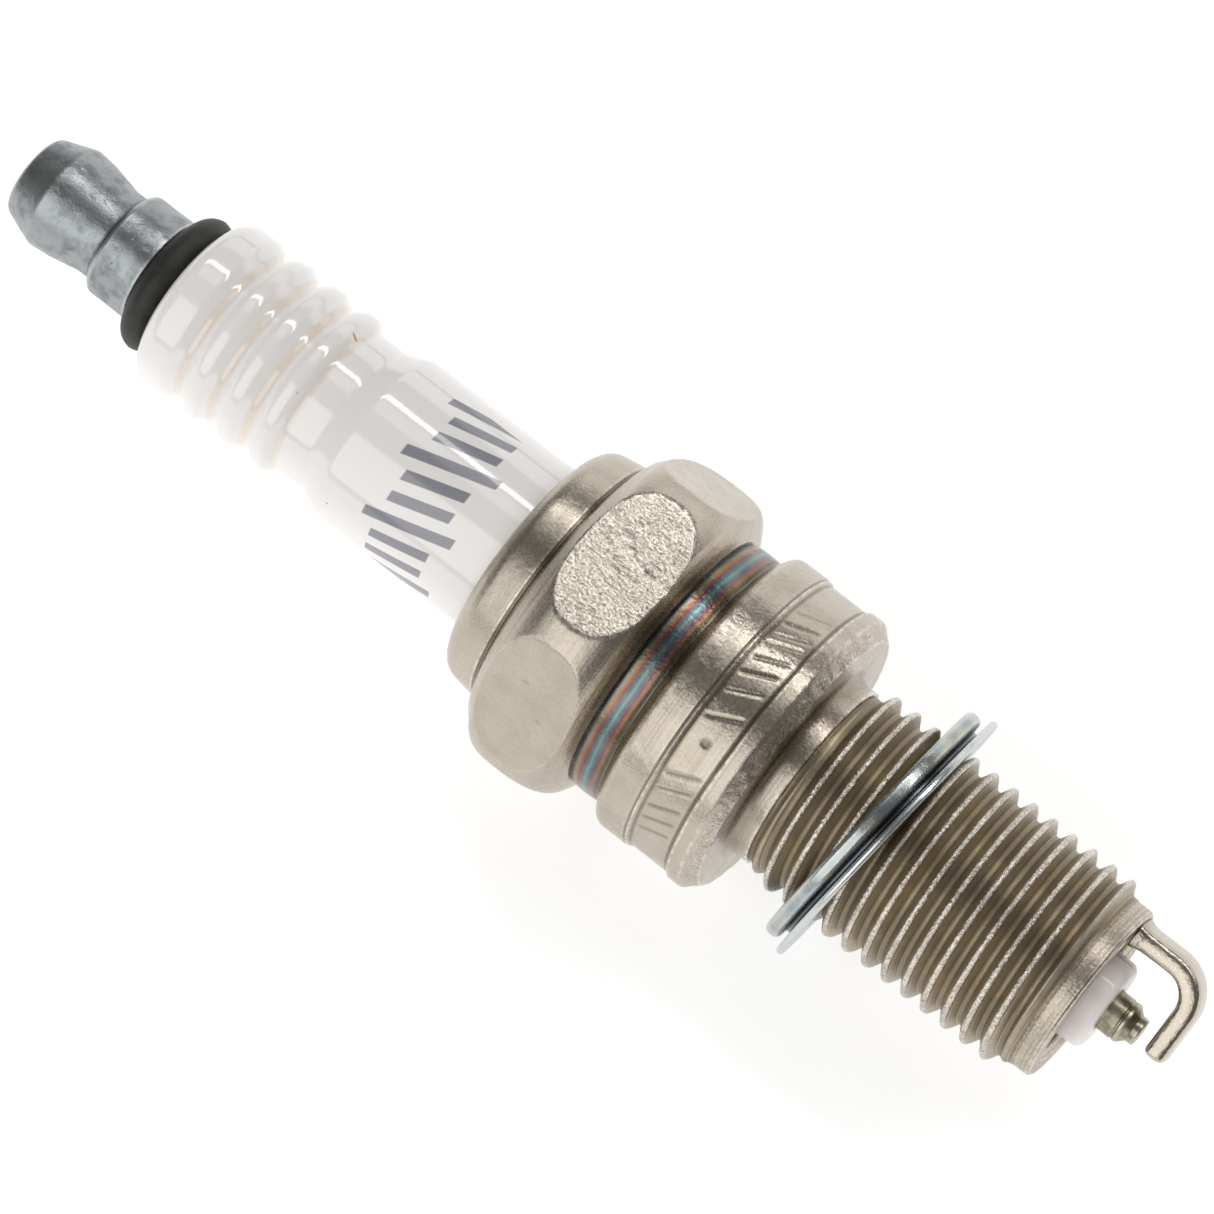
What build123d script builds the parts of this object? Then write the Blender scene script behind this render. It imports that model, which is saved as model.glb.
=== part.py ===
from build123d import *
from math import atan, cos, degrees, radians, tan
import os

# Spark plug with an M12 x 1.25 thread, 19 mm reach and a gasket seat, lying on a hex flat.
# Millimetres. X is the plug's axis: the firing end points to +X and the terminal to -X. +Z is up.
# The origin is on the axis, in the plane where the shell's seat meets its gasket.

# ---- Shell: thread and seat -------------------------------------------------------------------
THREAD_MAJOR = 11.78      # M12 external thread with its allowance
THREAD_PITCH = 1.25
THREAD_DEPTH = 0.68       # crest to root
THREAD_CORE = THREAD_MAJOR - 2 * THREAD_DEPTH
REACH = 19.0              # seat plane to the end of the shell
THREAD_START = 1.2        # plain neck before the thread
END_LAND = 1.1            # plain land after the last crest
END_LAND_STEP = 0.08      # how far the land lies below the thread's root
END_LAND_DIAMETER = THREAD_CORE - 2 * END_LAND_STEP
NECK_STEP = 0.52          # how far the neck lies below the thread's crest
NECK_DIAMETER = THREAD_MAJOR - 2 * NECK_STEP
NECK_FILLET = NECK_STEP + 0.08   # the flat seat starts outside the thread's crests
RIM_ROUND = 0.22
RIM_CHAMFER = 0.3

# ---- Shell: collar, heat-tinted band, hexagon and crimp, from the seat towards the terminal ----
COLLAR_LENGTH = 6.6
COLLAR_DIAMETER = 16.86   # over the two ridges
COLLAR_WAIST_DEPTH = 0.18 # how far the stamped band lies below the ridges
LOWER_RIDGE = 0.75        # flat length of the ridge next to the seat
UPPER_RIDGE = 1.7         # flat length of the ridge next to the hexagon
WAIST_START = 1.8         # seat plane to the stamped band
WAIST_LENGTH = 2.15
SEAT_DIAMETER = 15.5      # outer edge of the flat seat
BAND_LENGTH = 1.85        # the thin wall that is heated and shrunk when the plug is closed
BAND_DIAMETER = 15.26
BAND_GROOVE_DEPTH = 0.14
BAND_GROOVE_WIDTH = 0.14
HEX_ACROSS_FLATS = 17.4   # takes an 11/16 in or 17.5 mm plug socket
HEX_LENGTH = 6.45
HEX_CORNER_DIAMETER = 19.4
HEX_TOP_DIAMETER = 14.8   # inner edge of the chamfer next to the crimp
HEX_FOOT_DIAMETER = 15.38 # inner edge of the chamfer next to the band
CRIMP_HEIGHT = 2.6
CRIMP_DIAMETER = 14.6
CRIMP_LIP = 0.75          # thickness of the rolled lip at its inner edge
LIP_HOOK = 0.65           # how far the lip's underside curves down to the packing

EDGE_ROUND = 0.12         # small rounding of the shell's turned corners
RIDGE_ROUND = 0.3         # outer corners of the collar's two ridges
RIDGE_SLOPE = 0.3         # length of the slope from a ridge down to the stamped band
CRIMP_ROUND = 1.55
HEX_TOP_ROUND = 1.2       # the curved chamfer next to the crimp
HEX_TOP_CURVE = 3.0       # its length along the corner
HEX_FOOT_CURVE = 3.05     # length of the straight chamfer next to the band
HEX_FOOT_ROUND = 1.8
HEX_TOP_SETBACK = 0.4      # end of the first steep step of the chamfer next to the crimp
HEX_TOP_RECESS = 0.5       # how far that step's edge lies inside the flats
HEX_TOP_BLEND = 0.8        # length over which the curved chamfer meets the corner
HEX_TOP_DROP = 0.12
HEX_FOOT_SETBACK = 0.95    # start of the steep end of the chamfer next to the band
HEX_FOOT_RISE = 0.2
HEX_OVERLAP = 0.3         # how far the turned body runs on under the hexagon

# ---- Shell: bores ------------------------------------------------------------------------------
LEDGE_START = 4.6         # seat plane to the inner ledge that carries the insulator
LEDGE_BORE = 6.7
FIRING_BORE = 7.6
LEDGE_LENGTH = 1.3

# ---- Insulator ---------------------------------------------------------------------------------
BARREL_DIAMETER = 10.1
GRIPPED_DIAMETER = 9.7    # below the crimp, where the lip and the packing hold the ceramic
INSULATOR_HEIGHT = 22.35  # crimp to the insulator's top
RIB_COUNT = 4
RIB_PITCH = 2.2
RIB_DIAMETER = 9.96
RIB_GROOVE_DIAMETER = 9.1
RIB_FLAT = 0.8
RIB_GROOVE_FLAT = 0.5
FIRST_RIB = 1.85          # insulator's top to the middle of the first rib
LONG_GROOVE_DIAMETER = 8.94
LONG_GROOVE_LENGTH = 3.3
TOP_ROUND = 1.1
RIB_ROUND = 0.45          # both the ribs' corners and the grooves' floors
SHOULDER_DIAMETER = 12.3
SHOULDER_TOP = 11.2       # seat plane to the top of the wide shoulder
SHOULDER_SLOPE = 0.6      # length of the slope that the packing bears on
SHOULDER_FOOT = 4.4       # seat plane to the foot of the wide shoulder
MIDDLE_DIAMETER = 7.9
LEG_ROOT_DIAMETER = 6.2
NOSE_DIAMETER = 5.06
NOSE_PROJECTION = 1.1     # past the end of the shell
NOSE_ROUND = 0.35
CHAMBER_BORE = 3.6        # holds the stud, the glass and the resistor
CHAMBER_DEPTH = 2.0       # chamber floor, past the seat plane
FLANGE_RECESS_DIAMETER = 5.0
FLANGE_RECESS_DEPTH = 0.8

# ---- Terminal ----------------------------------------------------------------------------------
STUD_THREAD = 3.92        # M4 external thread with its allowance
STUD_THREAD_CORE = 3.14
STUD_PITCH = 0.7
STUD_THREAD_LENGTH = 6.8  # from the insulator's top to the stud's end
STUD_PLAIN_LENGTH = 1.6   # unthreaded foot of the stud, inside the rubber ring
STUD_LENGTH_BELOW = 26.2  # insulator's top to the stud's grooved end
STUD_GRIP_LENGTH = 3.6    # the grooved end that the glass holds
STUD_GRIP_DIAMETER = 3.0
STUD_GRIP_RIDGES = 4
RING_OUTSIDE = 8.2
RING_HEIGHT = 1.85        # squeezed height of the rubber ring
NUT_LENGTH = 8.7
NUT_BARREL_DIAMETER = 6.15
NUT_BARREL_LENGTH = 2.55
NUT_NECK_DIAMETER = 5.12
NUT_HEAD_DIAMETER = 6.1
NUT_TIP_DIAMETER = 4.6
NUT_CONE_LENGTH = 2.0     # tip to the widest part of the head
NUT_BULGE_LENGTH = 1.2    # widest part to where the neck's curve starts
NUT_HOLE_DEPTH = 5.7

# ---- Glass, resistor and electrodes ------------------------------------------------------------
UPPER_SEAL_LENGTH = 6.6   # from the top of the glass to the resistor
RESISTOR_LENGTH = 8.0
ELECTRODE_DIAMETER = 2.34
ELECTRODE_TIP_DIAMETER = 1.57
ELECTRODE_STEP = 1.15     # nose to the start of the tip's cone
ELECTRODE_CONE = 0.42
ELECTRODE_TIP = 0.4
ELECTRODE_HEAD_DIAMETER = 3.4
ELECTRODE_HEAD_LENGTH = 1.6
CORE_DIAMETER = 1.3
CORE_END = 2.6            # end of the copper core, short of the nose
SPARK_GAP = 0.6
STRAP_THICKNESS = 1.26
STRAP_WIDTH = 2.5
STRAP_CORNER = 0.35
STRAP_INSET = 1.11        # edge of the end land to the middle of the strap's leg
STRAP_OFFSET = END_LAND_DIAMETER / 2 - STRAP_INSET
STRAP_BEND = 1.9          # bend radius at the middle of the strap
STRAP_OVERHANG = 0.55     # past the axis
STRAP_DIRECTION = 60.0    # degrees from +Z towards +Y
WELD_DEPTH = 0.68         # edge of the end land in to the middle of the weld
WELD_PROUD = 0.27         # weld metal squeezed out past the end land

# ---- Crush gasket ------------------------------------------------------------------------------
GASKET_LOOSENESS = 0.36   # radial gap between the thread's crests and the gasket
GASKET_HOLE = THREAD_MAJOR + 2 * GASKET_LOOSENESS
GASKET_ROLL_WIDTH = 1.4   # hole to the edge of the rolled rim
GASKET_RIM_WIDTH = 1.85   # hole to the edge of the thin rim
GASKET_ROLL_THICKNESS = 0.9
GASKET_RIM_THICKNESS = 0.42
GASKET_SLOT = 0.3
GASKET_WEB = 0.55
GASKET_PLACE = 5.42       # where the loose ring lies along the thread
GASKET_RISE_Z = 0.139     # the ring's plane leans: X per millimetre of Z and of Y
GASKET_RISE_Y = 0.061

# ---- Fits --------------------------------------------------------------------------------------
SLIP_FIT = 0.05           # radial gap of pieces that drop into each other
FACE_GAP = 0.05           # between faces of pieces that come apart
THREAD_OVERCUT = 0.08     # how far the thread cutter stands out of the crest
THREAD_BACKING = 0.35     # solid wall that a threaded sleeve shares with the piece under it
WASHER_THICKNESS = 0.3
WIRE_DIAMETER = 1.1

# ---- Stations along X that follow from the above -----------------------------------------------
collar_top = -COLLAR_LENGTH
hex_foot = collar_top - BAND_LENGTH
hex_top = hex_foot - HEX_LENGTH
crimp_top = hex_top - CRIMP_HEIGHT
insulator_top = crimp_top - INSULATOR_HEIGHT
nut_seat = insulator_top - RING_HEIGHT - FACE_GAP
nut_tip = nut_seat - NUT_LENGTH
nose_end = REACH + NOSE_PROJECTION
tip_end = nose_end + ELECTRODE_STEP + ELECTRODE_CONE + ELECTRODE_TIP
strap_face = tip_end + SPARK_GAP
stud_end = insulator_top + STUD_LENGTH_BELOW
upper_seal_top = stud_end - STUD_GRIP_LENGTH
resistor_top = upper_seal_top + UPPER_SEAL_LENGTH
resistor_end = resistor_top + RESISTOR_LENGTH
packing_top = crimp_top + CRIMP_LIP + LIP_HOOK
packing_foot = -SHOULDER_TOP - SHOULDER_SLOPE
shoulder_bore = SHOULDER_DIAMETER + 2 * SLIP_FIT
middle_bore = MIDDLE_DIAMETER + 2 * SLIP_FIT
electrode_bore = ELECTRODE_DIAMETER + 2 * SLIP_FIT
shoulder_cone_end = -SHOULDER_FOOT + (SHOULDER_DIAMETER - MIDDLE_DIAMETER) / 2
ledge_end = LEDGE_START + (middle_bore - LEDGE_BORE) / 2


def turned(outline):
    """A solid turned about X from (x, radius, corner rounding) points, closed back to the first."""
    points = [(x, radius) for x, radius, rounding in outline]
    roundings = [rounding for x, radius, rounding in outline]
    return revolve(make_face(FilletPolyline(points, radius=roundings, close=True)), Axis.X)


def threaded_sleeve(major, core, pitch, start, end, inner):
    """A sleeve about X with a right-hand 60 degree thread from end face to end face."""
    groove_start = start - pitch
    length = end - start + 2 * pitch
    foot = (groove_start, 0, 0)
    path = Helix(pitch=pitch, height=length, radius=core / 2, center=foot, direction=(1, 0, 0))
    depth = (major - core) / 2 + THREAD_OVERCUT
    floor = pitch / 16
    mouth = floor + depth * tan(radians(30))
    section = Plane(origin=path @ 0, x_dir=(1, 0, 0), z_dir=path % 0)
    outline = Polyline((-floor, 0), (floor, 0), (mouth, depth), (-mouth, depth), close=True)
    groove = sweep(section * make_face(outline), path=path, is_frenet=True)
    return ring_between(start, end, inner / 2, major / 2) - groove


def ring_between(start, end, inner, outer, rounding=0.0):
    """A ring about X from one station to another, with its four edges rounded alike."""
    corners = [(start, inner), (start, outer), (end, outer), (end, inner)]
    return turned([(x, radius, rounding) for x, radius in corners])


def shell_outline():
    """The outside of the shell from the crimp's inner edge to the rim, then its bores back again."""
    ridge = COLLAR_DIAMETER / 2
    waist = ridge - COLLAR_WAIST_DEPTH
    band = BAND_DIAMETER / 2
    groove = band - BAND_GROOVE_DEPTH
    under_thread = THREAD_CORE / 2 - THREAD_BACKING
    neck = NECK_DIAMETER / 2
    land = END_LAND_DIAMETER / 2
    lip = GRIPPED_DIAMETER / 2 + SLIP_FIT
    crimp = CRIMP_DIAMETER / 2
    crimp_round = min(CRIMP_ROUND, (crimp - lip) * 0.62)
    thread_end = REACH - END_LAND
    waist_start = -WAIST_START
    waist_end = -WAIST_START - WAIST_LENGTH
    lower_ridge_end = waist_start + RIDGE_SLOPE
    upper_ridge_start = waist_end - RIDGE_SLOPE
    upper_ridge_end = upper_ridge_start - UPPER_RIDGE
    bore = shoulder_bore / 2
    outside = [
        (crimp_top, lip, EDGE_ROUND),
        (crimp_top + 0.05, crimp - 0.35, crimp_round),
        (hex_top + HEX_OVERLAP, crimp, 0),
        (hex_foot - HEX_OVERLAP, crimp, 0),
        (hex_foot - HEX_OVERLAP, groove, 0),
        (hex_foot + BAND_GROOVE_WIDTH, groove, 0),
        (hex_foot + BAND_GROOVE_WIDTH, band, EDGE_ROUND / 2),
        (collar_top - BAND_GROOVE_WIDTH, band, EDGE_ROUND / 2),
        (collar_top - BAND_GROOVE_WIDTH, groove, 0),
        (collar_top, groove, 0),
        (collar_top + 0.05, band + 0.05, 0),
        (upper_ridge_end, ridge, RIDGE_ROUND),
        (upper_ridge_start, ridge, EDGE_ROUND),
        (waist_end, waist, EDGE_ROUND),
        (waist_start, waist, EDGE_ROUND),
        (lower_ridge_end, ridge, EDGE_ROUND),
        (lower_ridge_end + LOWER_RIDGE, ridge, RIDGE_ROUND),
        (0, SEAT_DIAMETER / 2, EDGE_ROUND),
        (0, neck, NECK_FILLET),
        (THREAD_START, neck, 0),
        (THREAD_START, under_thread, 0),
        (thread_end, under_thread, 0),
        (thread_end, land, 0),
        (REACH, land, RIM_ROUND),
    ]
    inside = [
        (REACH, FIRING_BORE / 2 + RIM_CHAMFER, 0),
        (REACH - RIM_CHAMFER, FIRING_BORE / 2, 0),
        (ledge_end + LEDGE_LENGTH + (FIRING_BORE - LEDGE_BORE) / 2, FIRING_BORE / 2, 0),
        (ledge_end + LEDGE_LENGTH, LEDGE_BORE / 2, 0),
        (ledge_end, LEDGE_BORE / 2, 0),
        (LEDGE_START, middle_bore / 2, 0),
        (shoulder_cone_end, middle_bore / 2, 0),
        (-SHOULDER_FOOT, bore, 0),
        (packing_top, bore, 0.5),
        (crimp_top + CRIMP_LIP, lip, 0),
    ]
    return outside + inside


def hex_body():
    """The hexagon with a flat facing down, turned off at its corners by a curved and a straight chamfer."""
    prism = Plane.YZ * RegularPolygon(HEX_ACROSS_FLATS / 2, 6, major_radius=False)
    prism = Pos(hex_top, 0, 0) * extrude(prism, HEX_LENGTH)
    corner = HEX_CORNER_DIAMETER / 2
    flat = HEX_ACROSS_FLATS / 2
    top_curve = min(HEX_TOP_CURVE, HEX_LENGTH * 0.45)
    foot_curve = min(HEX_FOOT_CURVE, HEX_LENGTH * 0.45)
    limit = turned([
        (hex_top, 0, 0),
        (hex_top, HEX_TOP_DIAMETER / 2, 0),
        (hex_top + HEX_TOP_SETBACK, flat - HEX_TOP_RECESS, HEX_TOP_ROUND / 2),
        (hex_top + top_curve - HEX_TOP_BLEND, corner - HEX_TOP_DROP, HEX_TOP_ROUND),
        (hex_top + top_curve, corner, 0),
        (hex_foot - foot_curve, corner, HEX_FOOT_ROUND),
        (hex_foot - HEX_FOOT_SETBACK, flat + HEX_FOOT_RISE, HEX_TOP_BLEND),
        (hex_foot, HEX_FOOT_DIAMETER / 2, 0),
        (hex_foot, 0, 0),
    ])
    bore = Plane.YZ * Circle(shoulder_bore / 2 + 0.5)
    return (prism & limit) - Pos(hex_top - 1, 0, 0) * extrude(bore, HEX_LENGTH + 2)


def make_shell():
    """One steel piece: turned body, hexagon and rolled M12 thread."""
    inner = THREAD_CORE - 4 * THREAD_BACKING
    thread = threaded_sleeve(THREAD_MAJOR, THREAD_CORE, THREAD_PITCH, THREAD_START, REACH - END_LAND, inner)
    return turned(shell_outline()) + thread + hex_body()


def make_insulator():
    """One ceramic piece: ribbed top, barrel, wide shoulder inside the shell, and the tapered leg."""
    barrel = BARREL_DIAMETER / 2
    gripped = GRIPPED_DIAMETER / 2
    rib = RIB_DIAMETER / 2
    groove = RIB_GROOVE_DIAMETER / 2
    middle = MIDDLE_DIAMETER / 2
    chamber = CHAMBER_BORE / 2
    wire = electrode_bore / 2
    first = insulator_top + FIRST_RIB
    outline = [(insulator_top, FLANGE_RECESS_DIAMETER / 2, 0), (insulator_top, rib, TOP_ROUND)]
    for number in range(RIB_COUNT - 1):
        middle_of_groove = first + (number + 0.5) * RIB_PITCH
        outline += [
            (middle_of_groove - (RIB_PITCH - RIB_FLAT) / 2, rib, RIB_ROUND),
            (middle_of_groove - RIB_GROOVE_FLAT / 2, groove, RIB_ROUND),
            (middle_of_groove + RIB_GROOVE_FLAT / 2, groove, RIB_ROUND),
            (middle_of_groove + (RIB_PITCH - RIB_FLAT) / 2, rib, RIB_ROUND),
        ]
    last_rib_end = first + (RIB_COUNT - 1) * RIB_PITCH + RIB_FLAT / 2
    long_groove = LONG_GROOVE_DIAMETER / 2
    leg_start = LEDGE_START - WASHER_THICKNESS
    leg_root = LEG_ROOT_DIAMETER / 2
    outline += [
        (last_rib_end, rib, RIB_ROUND),
        (last_rib_end + 0.55, long_groove, 0.6),
        (last_rib_end + LONG_GROOVE_LENGTH - 1.0, long_groove, 1.5),
        (last_rib_end + LONG_GROOVE_LENGTH + 0.45, barrel, 0.8),
        (crimp_top, barrel, 0),
        (crimp_top, gripped, 0),
        (packing_foot, gripped, 0),
        (-SHOULDER_TOP, SHOULDER_DIAMETER / 2, 0.25),
        (-SHOULDER_FOOT - SLIP_FIT, SHOULDER_DIAMETER / 2, 0),
        (shoulder_cone_end - SLIP_FIT, middle, 0),
        (leg_start, middle, 0),
        (leg_start + middle - leg_root, leg_root, 0.3),
        (nose_end, NOSE_DIAMETER / 2, NOSE_ROUND),
        (nose_end, wire, 0.1),
        (CHAMBER_DEPTH, wire, 0),
        (CHAMBER_DEPTH - (chamber - wire), chamber, 0),
        (insulator_top + FLANGE_RECESS_DEPTH, chamber, 0),
        (insulator_top + FLANGE_RECESS_DEPTH, FLANGE_RECESS_DIAMETER / 2, 0),
    ]
    return turned(outline)


def make_terminal_stud():
    """M4 thread above the insulator, a flange in its recess, a shank and a ridged end in the glass."""
    thread = STUD_THREAD / 2
    core = STUD_THREAD_CORE / 2
    flange = FLANGE_RECESS_DIAMETER / 2 - SLIP_FIT
    shank = CHAMBER_BORE / 2 - SLIP_FIT
    grip = STUD_GRIP_DIAMETER / 2
    thread_top = insulator_top - STUD_THREAD_LENGTH
    thread_foot = insulator_top - STUD_PLAIN_LENGTH
    under_thread = core - THREAD_BACKING / 2
    outline = [
        (thread_top, 0, 0),
        (thread_top, under_thread, 0),
        (thread_foot, under_thread, 0),
        (thread_foot, thread, 0),
        (insulator_top, thread, 0),
        (insulator_top, flange, 0),
        (insulator_top + FLANGE_RECESS_DEPTH, flange, 0),
        (insulator_top + FLANGE_RECESS_DEPTH, shank, 0),
        (stud_end - STUD_GRIP_LENGTH, shank, 0),
    ]
    pitch = STUD_GRIP_LENGTH / STUD_GRIP_RIDGES
    for number in range(STUD_GRIP_RIDGES):
        start = stud_end - STUD_GRIP_LENGTH + number * pitch
        outline += [
            (start, grip - 0.25, 0),
            (start + pitch / 2, grip - 0.25, 0),
            (start + pitch / 2, grip, 0),
            (start + pitch, grip, 0),
        ]
    outline.append((stud_end, 0, 0))
    inner = STUD_THREAD_CORE - 2 * THREAD_BACKING
    sleeve = threaded_sleeve(STUD_THREAD, STUD_THREAD_CORE, STUD_PITCH, thread_top, thread_foot, inner)
    return turned(outline) + sleeve


def make_terminal_ring():
    """The rubber ring, squeezed to an oval section between the nut and the insulator."""
    inner = STUD_THREAD / 2 + SLIP_FIT
    outer = RING_OUTSIDE / 2
    top = insulator_top - RING_HEIGHT
    side = min(outer - inner, RING_HEIGHT) / 2 * 0.96
    return turned([
        (top, inner, side),
        (top, outer, side),
        (insulator_top, outer, side),
        (insulator_top, inner, side),
    ])


def make_terminal_nut():
    """The terminal cap: cone tip, bulged head, neck and barrel, with a blind hole for the stud."""
    barrel = NUT_BARREL_DIAMETER / 2
    neck = NUT_NECK_DIAMETER / 2
    head = NUT_HEAD_DIAMETER / 2
    tip = NUT_TIP_DIAMETER / 2
    hole = STUD_THREAD / 2 + SLIP_FIT
    shoulder = nut_seat - NUT_BARREL_LENGTH
    hole_end = nut_seat - NUT_HOLE_DEPTH
    return turned([
        (nut_tip, 0, 0),
        (nut_tip, tip, 0.35),
        (nut_tip + NUT_CONE_LENGTH, head, 0.8),
        (nut_tip + NUT_CONE_LENGTH + NUT_BULGE_LENGTH, head - 0.12, 1.4),
        (shoulder - 1.2, neck, 1.4),
        (shoulder - 0.3, neck, 0.12),
        (shoulder - 0.2, barrel - 0.2, 0.05),
        (shoulder, barrel, 0.2),
        (nut_seat, barrel, 0.15),
        (nut_seat, hole, 0),
        (hole_end, hole, 0),
        (hole_end - hole / 2, 0, 0),
    ])


def make_centre_electrode():
    """The nickel electrode: a head on the chamber floor, a long pin, a cone and a fine tip."""
    pin = ELECTRODE_DIAMETER / 2
    head = ELECTRODE_HEAD_DIAMETER / 2
    tip = ELECTRODE_TIP_DIAMETER / 2
    core = CORE_DIAMETER / 2
    cone = nose_end + ELECTRODE_STEP
    seat = CHAMBER_DEPTH - (head - electrode_bore / 2)
    top = seat - ELECTRODE_HEAD_LENGTH
    return turned([
        (top, core, 0),
        (top, head - 0.35, 0),
        (top + 0.5, head - 0.35, 0),
        (top + 0.8, head, 0),
        (seat, head, 0),
        (seat + head - pin, pin, 0),
        (cone, pin, 0.05),
        (cone + ELECTRODE_CONE, tip, 0),
        (tip_end, tip, 0.06),
        (tip_end, 0, 0),
        (nose_end - CORE_END, 0, 0),
        (nose_end - CORE_END - core, core, 0),
    ])


def make_electrode_core():
    core = CORE_DIAMETER / 2
    head = ELECTRODE_HEAD_DIAMETER / 2
    top = CHAMBER_DEPTH - (head - electrode_bore / 2) - ELECTRODE_HEAD_LENGTH
    return turned([
        (top, 0, 0),
        (top, core, 0),
        (nose_end - CORE_END - core, core, 0),
        (nose_end - CORE_END, 0, 0),
    ])


def chamber_fill(start, end):
    """A plug that fills the insulator's chamber from one station to another, down to its cone floor."""
    chamber = CHAMBER_BORE / 2
    wire = electrode_bore / 2
    floor = CHAMBER_DEPTH - (chamber - wire)
    if end <= floor:
        return turned([(start, 0, 0), (start, chamber, 0), (end, chamber, 0), (end, 0, 0)])
    return turned([
        (start, 0, 0),
        (start, chamber, 0),
        (floor, chamber, 0),
        (end, chamber - (end - floor), 0),
        (end, 0, 0),
    ])


def make_ground_electrode(shell_blank):
    """A strap of rounded bar, welded to the rim, bent over the tip, with the weld's squeezed-out metal."""
    middle = strap_face + STRAP_THICKNESS / 2
    bend_start = (middle - STRAP_BEND, 0, STRAP_OFFSET)
    bend_end = (middle, 0, STRAP_OFFSET - STRAP_BEND)
    cut_in = STRAP_BEND * (1 - cos(radians(45)))
    leg = Line((REACH, 0, STRAP_OFFSET), bend_start)
    bend = ThreePointArc(bend_start, (middle - cut_in, 0, STRAP_OFFSET - cut_in), bend_end)
    arm = Line(bend_end, (middle, 0, -STRAP_OVERHANG))
    section = Plane(origin=leg @ 0, x_dir=(0, 1, 0), z_dir=(1, 0, 0))
    bar = section * RectangleRounded(STRAP_WIDTH, STRAP_THICKNESS, STRAP_CORNER)
    strap = sweep(bar, path=Wire([leg, bend, arm]))
    weld_middle = END_LAND_DIAMETER / 2 - WELD_DEPTH
    weld_radii = (0.55, STRAP_WIDTH * 0.56, WELD_DEPTH + WELD_PROUD)
    ball = scale(Sphere(1), by=weld_radii)
    weld = Pos(REACH - 0.12, 0, weld_middle) * ball - shell_blank
    return Rot(X=-STRAP_DIRECTION) * (strap + weld)


def make_crush_gasket():
    """A folded ring: a thick rolled rim towards the collar and a wider thin rim, with a slot between."""
    hole = GASKET_HOLE / 2
    roll = hole + GASKET_ROLL_WIDTH
    rim = hole + GASKET_RIM_WIDTH
    length = GASKET_ROLL_THICKNESS + GASKET_SLOT + GASKET_RIM_THICKNESS
    slot_start = -length / 2 + GASKET_ROLL_THICKNESS
    slot_end = slot_start + GASKET_SLOT
    ring = turned([
        (-length / 2, hole, 0.3),
        (-length / 2, roll, 0.4),
        (slot_start, roll, 0.4),
        (slot_start, hole + GASKET_WEB, 0),
        (slot_end, hole + GASKET_WEB, 0),
        (slot_end, rim, 0.15),
        (length / 2, rim, 0.15),
        (length / 2, hole, 0.1),
    ])
    lean = Rot(Z=-degrees(atan(GASKET_RISE_Y))) * Rot(Y=degrees(atan(GASKET_RISE_Z)))
    return Pos(GASKET_PLACE, 0, 0) * lean * ring


def make_seat_washer():
    """A thin conical washer between the leg's shoulder and the shell's ledge."""
    outer = middle_bore / 2
    inner = LEDGE_BORE / 2
    return turned([
        (LEDGE_START - WASHER_THICKNESS, outer, 0),
        (LEDGE_START, outer, 0),
        (LEDGE_START + outer - inner, inner, 0),
        (LEDGE_START - WASHER_THICKNESS + outer - inner, inner, 0),
    ])


def main():
    shell_blank = turned(shell_outline())
    stud = make_terminal_stud()
    electrode = make_centre_electrode()
    core = make_electrode_core()
    gripped = GRIPPED_DIAMETER / 2
    bore = shoulder_bore / 2
    talc_top = packing_top + WIRE_DIAMETER
    talc_foot = packing_foot - WIRE_DIAMETER
    wire_round = WIRE_DIAMETER * 0.4
    parts = {
        "terminal_nut": make_terminal_nut(),
        "terminal_o_ring": make_terminal_ring(),
        "terminal_stud": stud,
        "insulator": make_insulator(),
        "upper_glass_seal": chamber_fill(upper_seal_top, resistor_top) - stud,
        "resistor": chamber_fill(resistor_top, resistor_end),
        "lower_glass_seal": chamber_fill(resistor_end, CHAMBER_DEPTH) - electrode - core,
        "centre_electrode": electrode,
        "centre_electrode_core": core,
        "shell": make_shell(),
        "upper_packing_ring": ring_between(packing_top, talc_top, gripped, bore, wire_round),
        "talc_packing": ring_between(talc_top, talc_foot, gripped, bore),
        "lower_packing_ring": ring_between(talc_foot, packing_foot, gripped, bore, wire_round),
        "inner_seat_gasket": make_seat_washer(),
        "crush_gasket": make_crush_gasket(),
        "ground_electrode": make_ground_electrode(shell_blank),
    }
    os.makedirs("parts", exist_ok=True)
    for name, part in parts.items():
        export_step(part, f"parts/{name}.step")


main()
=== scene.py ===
"""Spark plug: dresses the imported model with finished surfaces, materials, light and a camera.

X is the plug's axis, the firing end at +X and the terminal at -X, the origin in the plane of the seat.
Sizes are in metres. An angle round the axis is measured from straight up (+Z) towards -Y.
"""

import bpy
import numpy as np
from mathutils import Matrix, Vector


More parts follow.
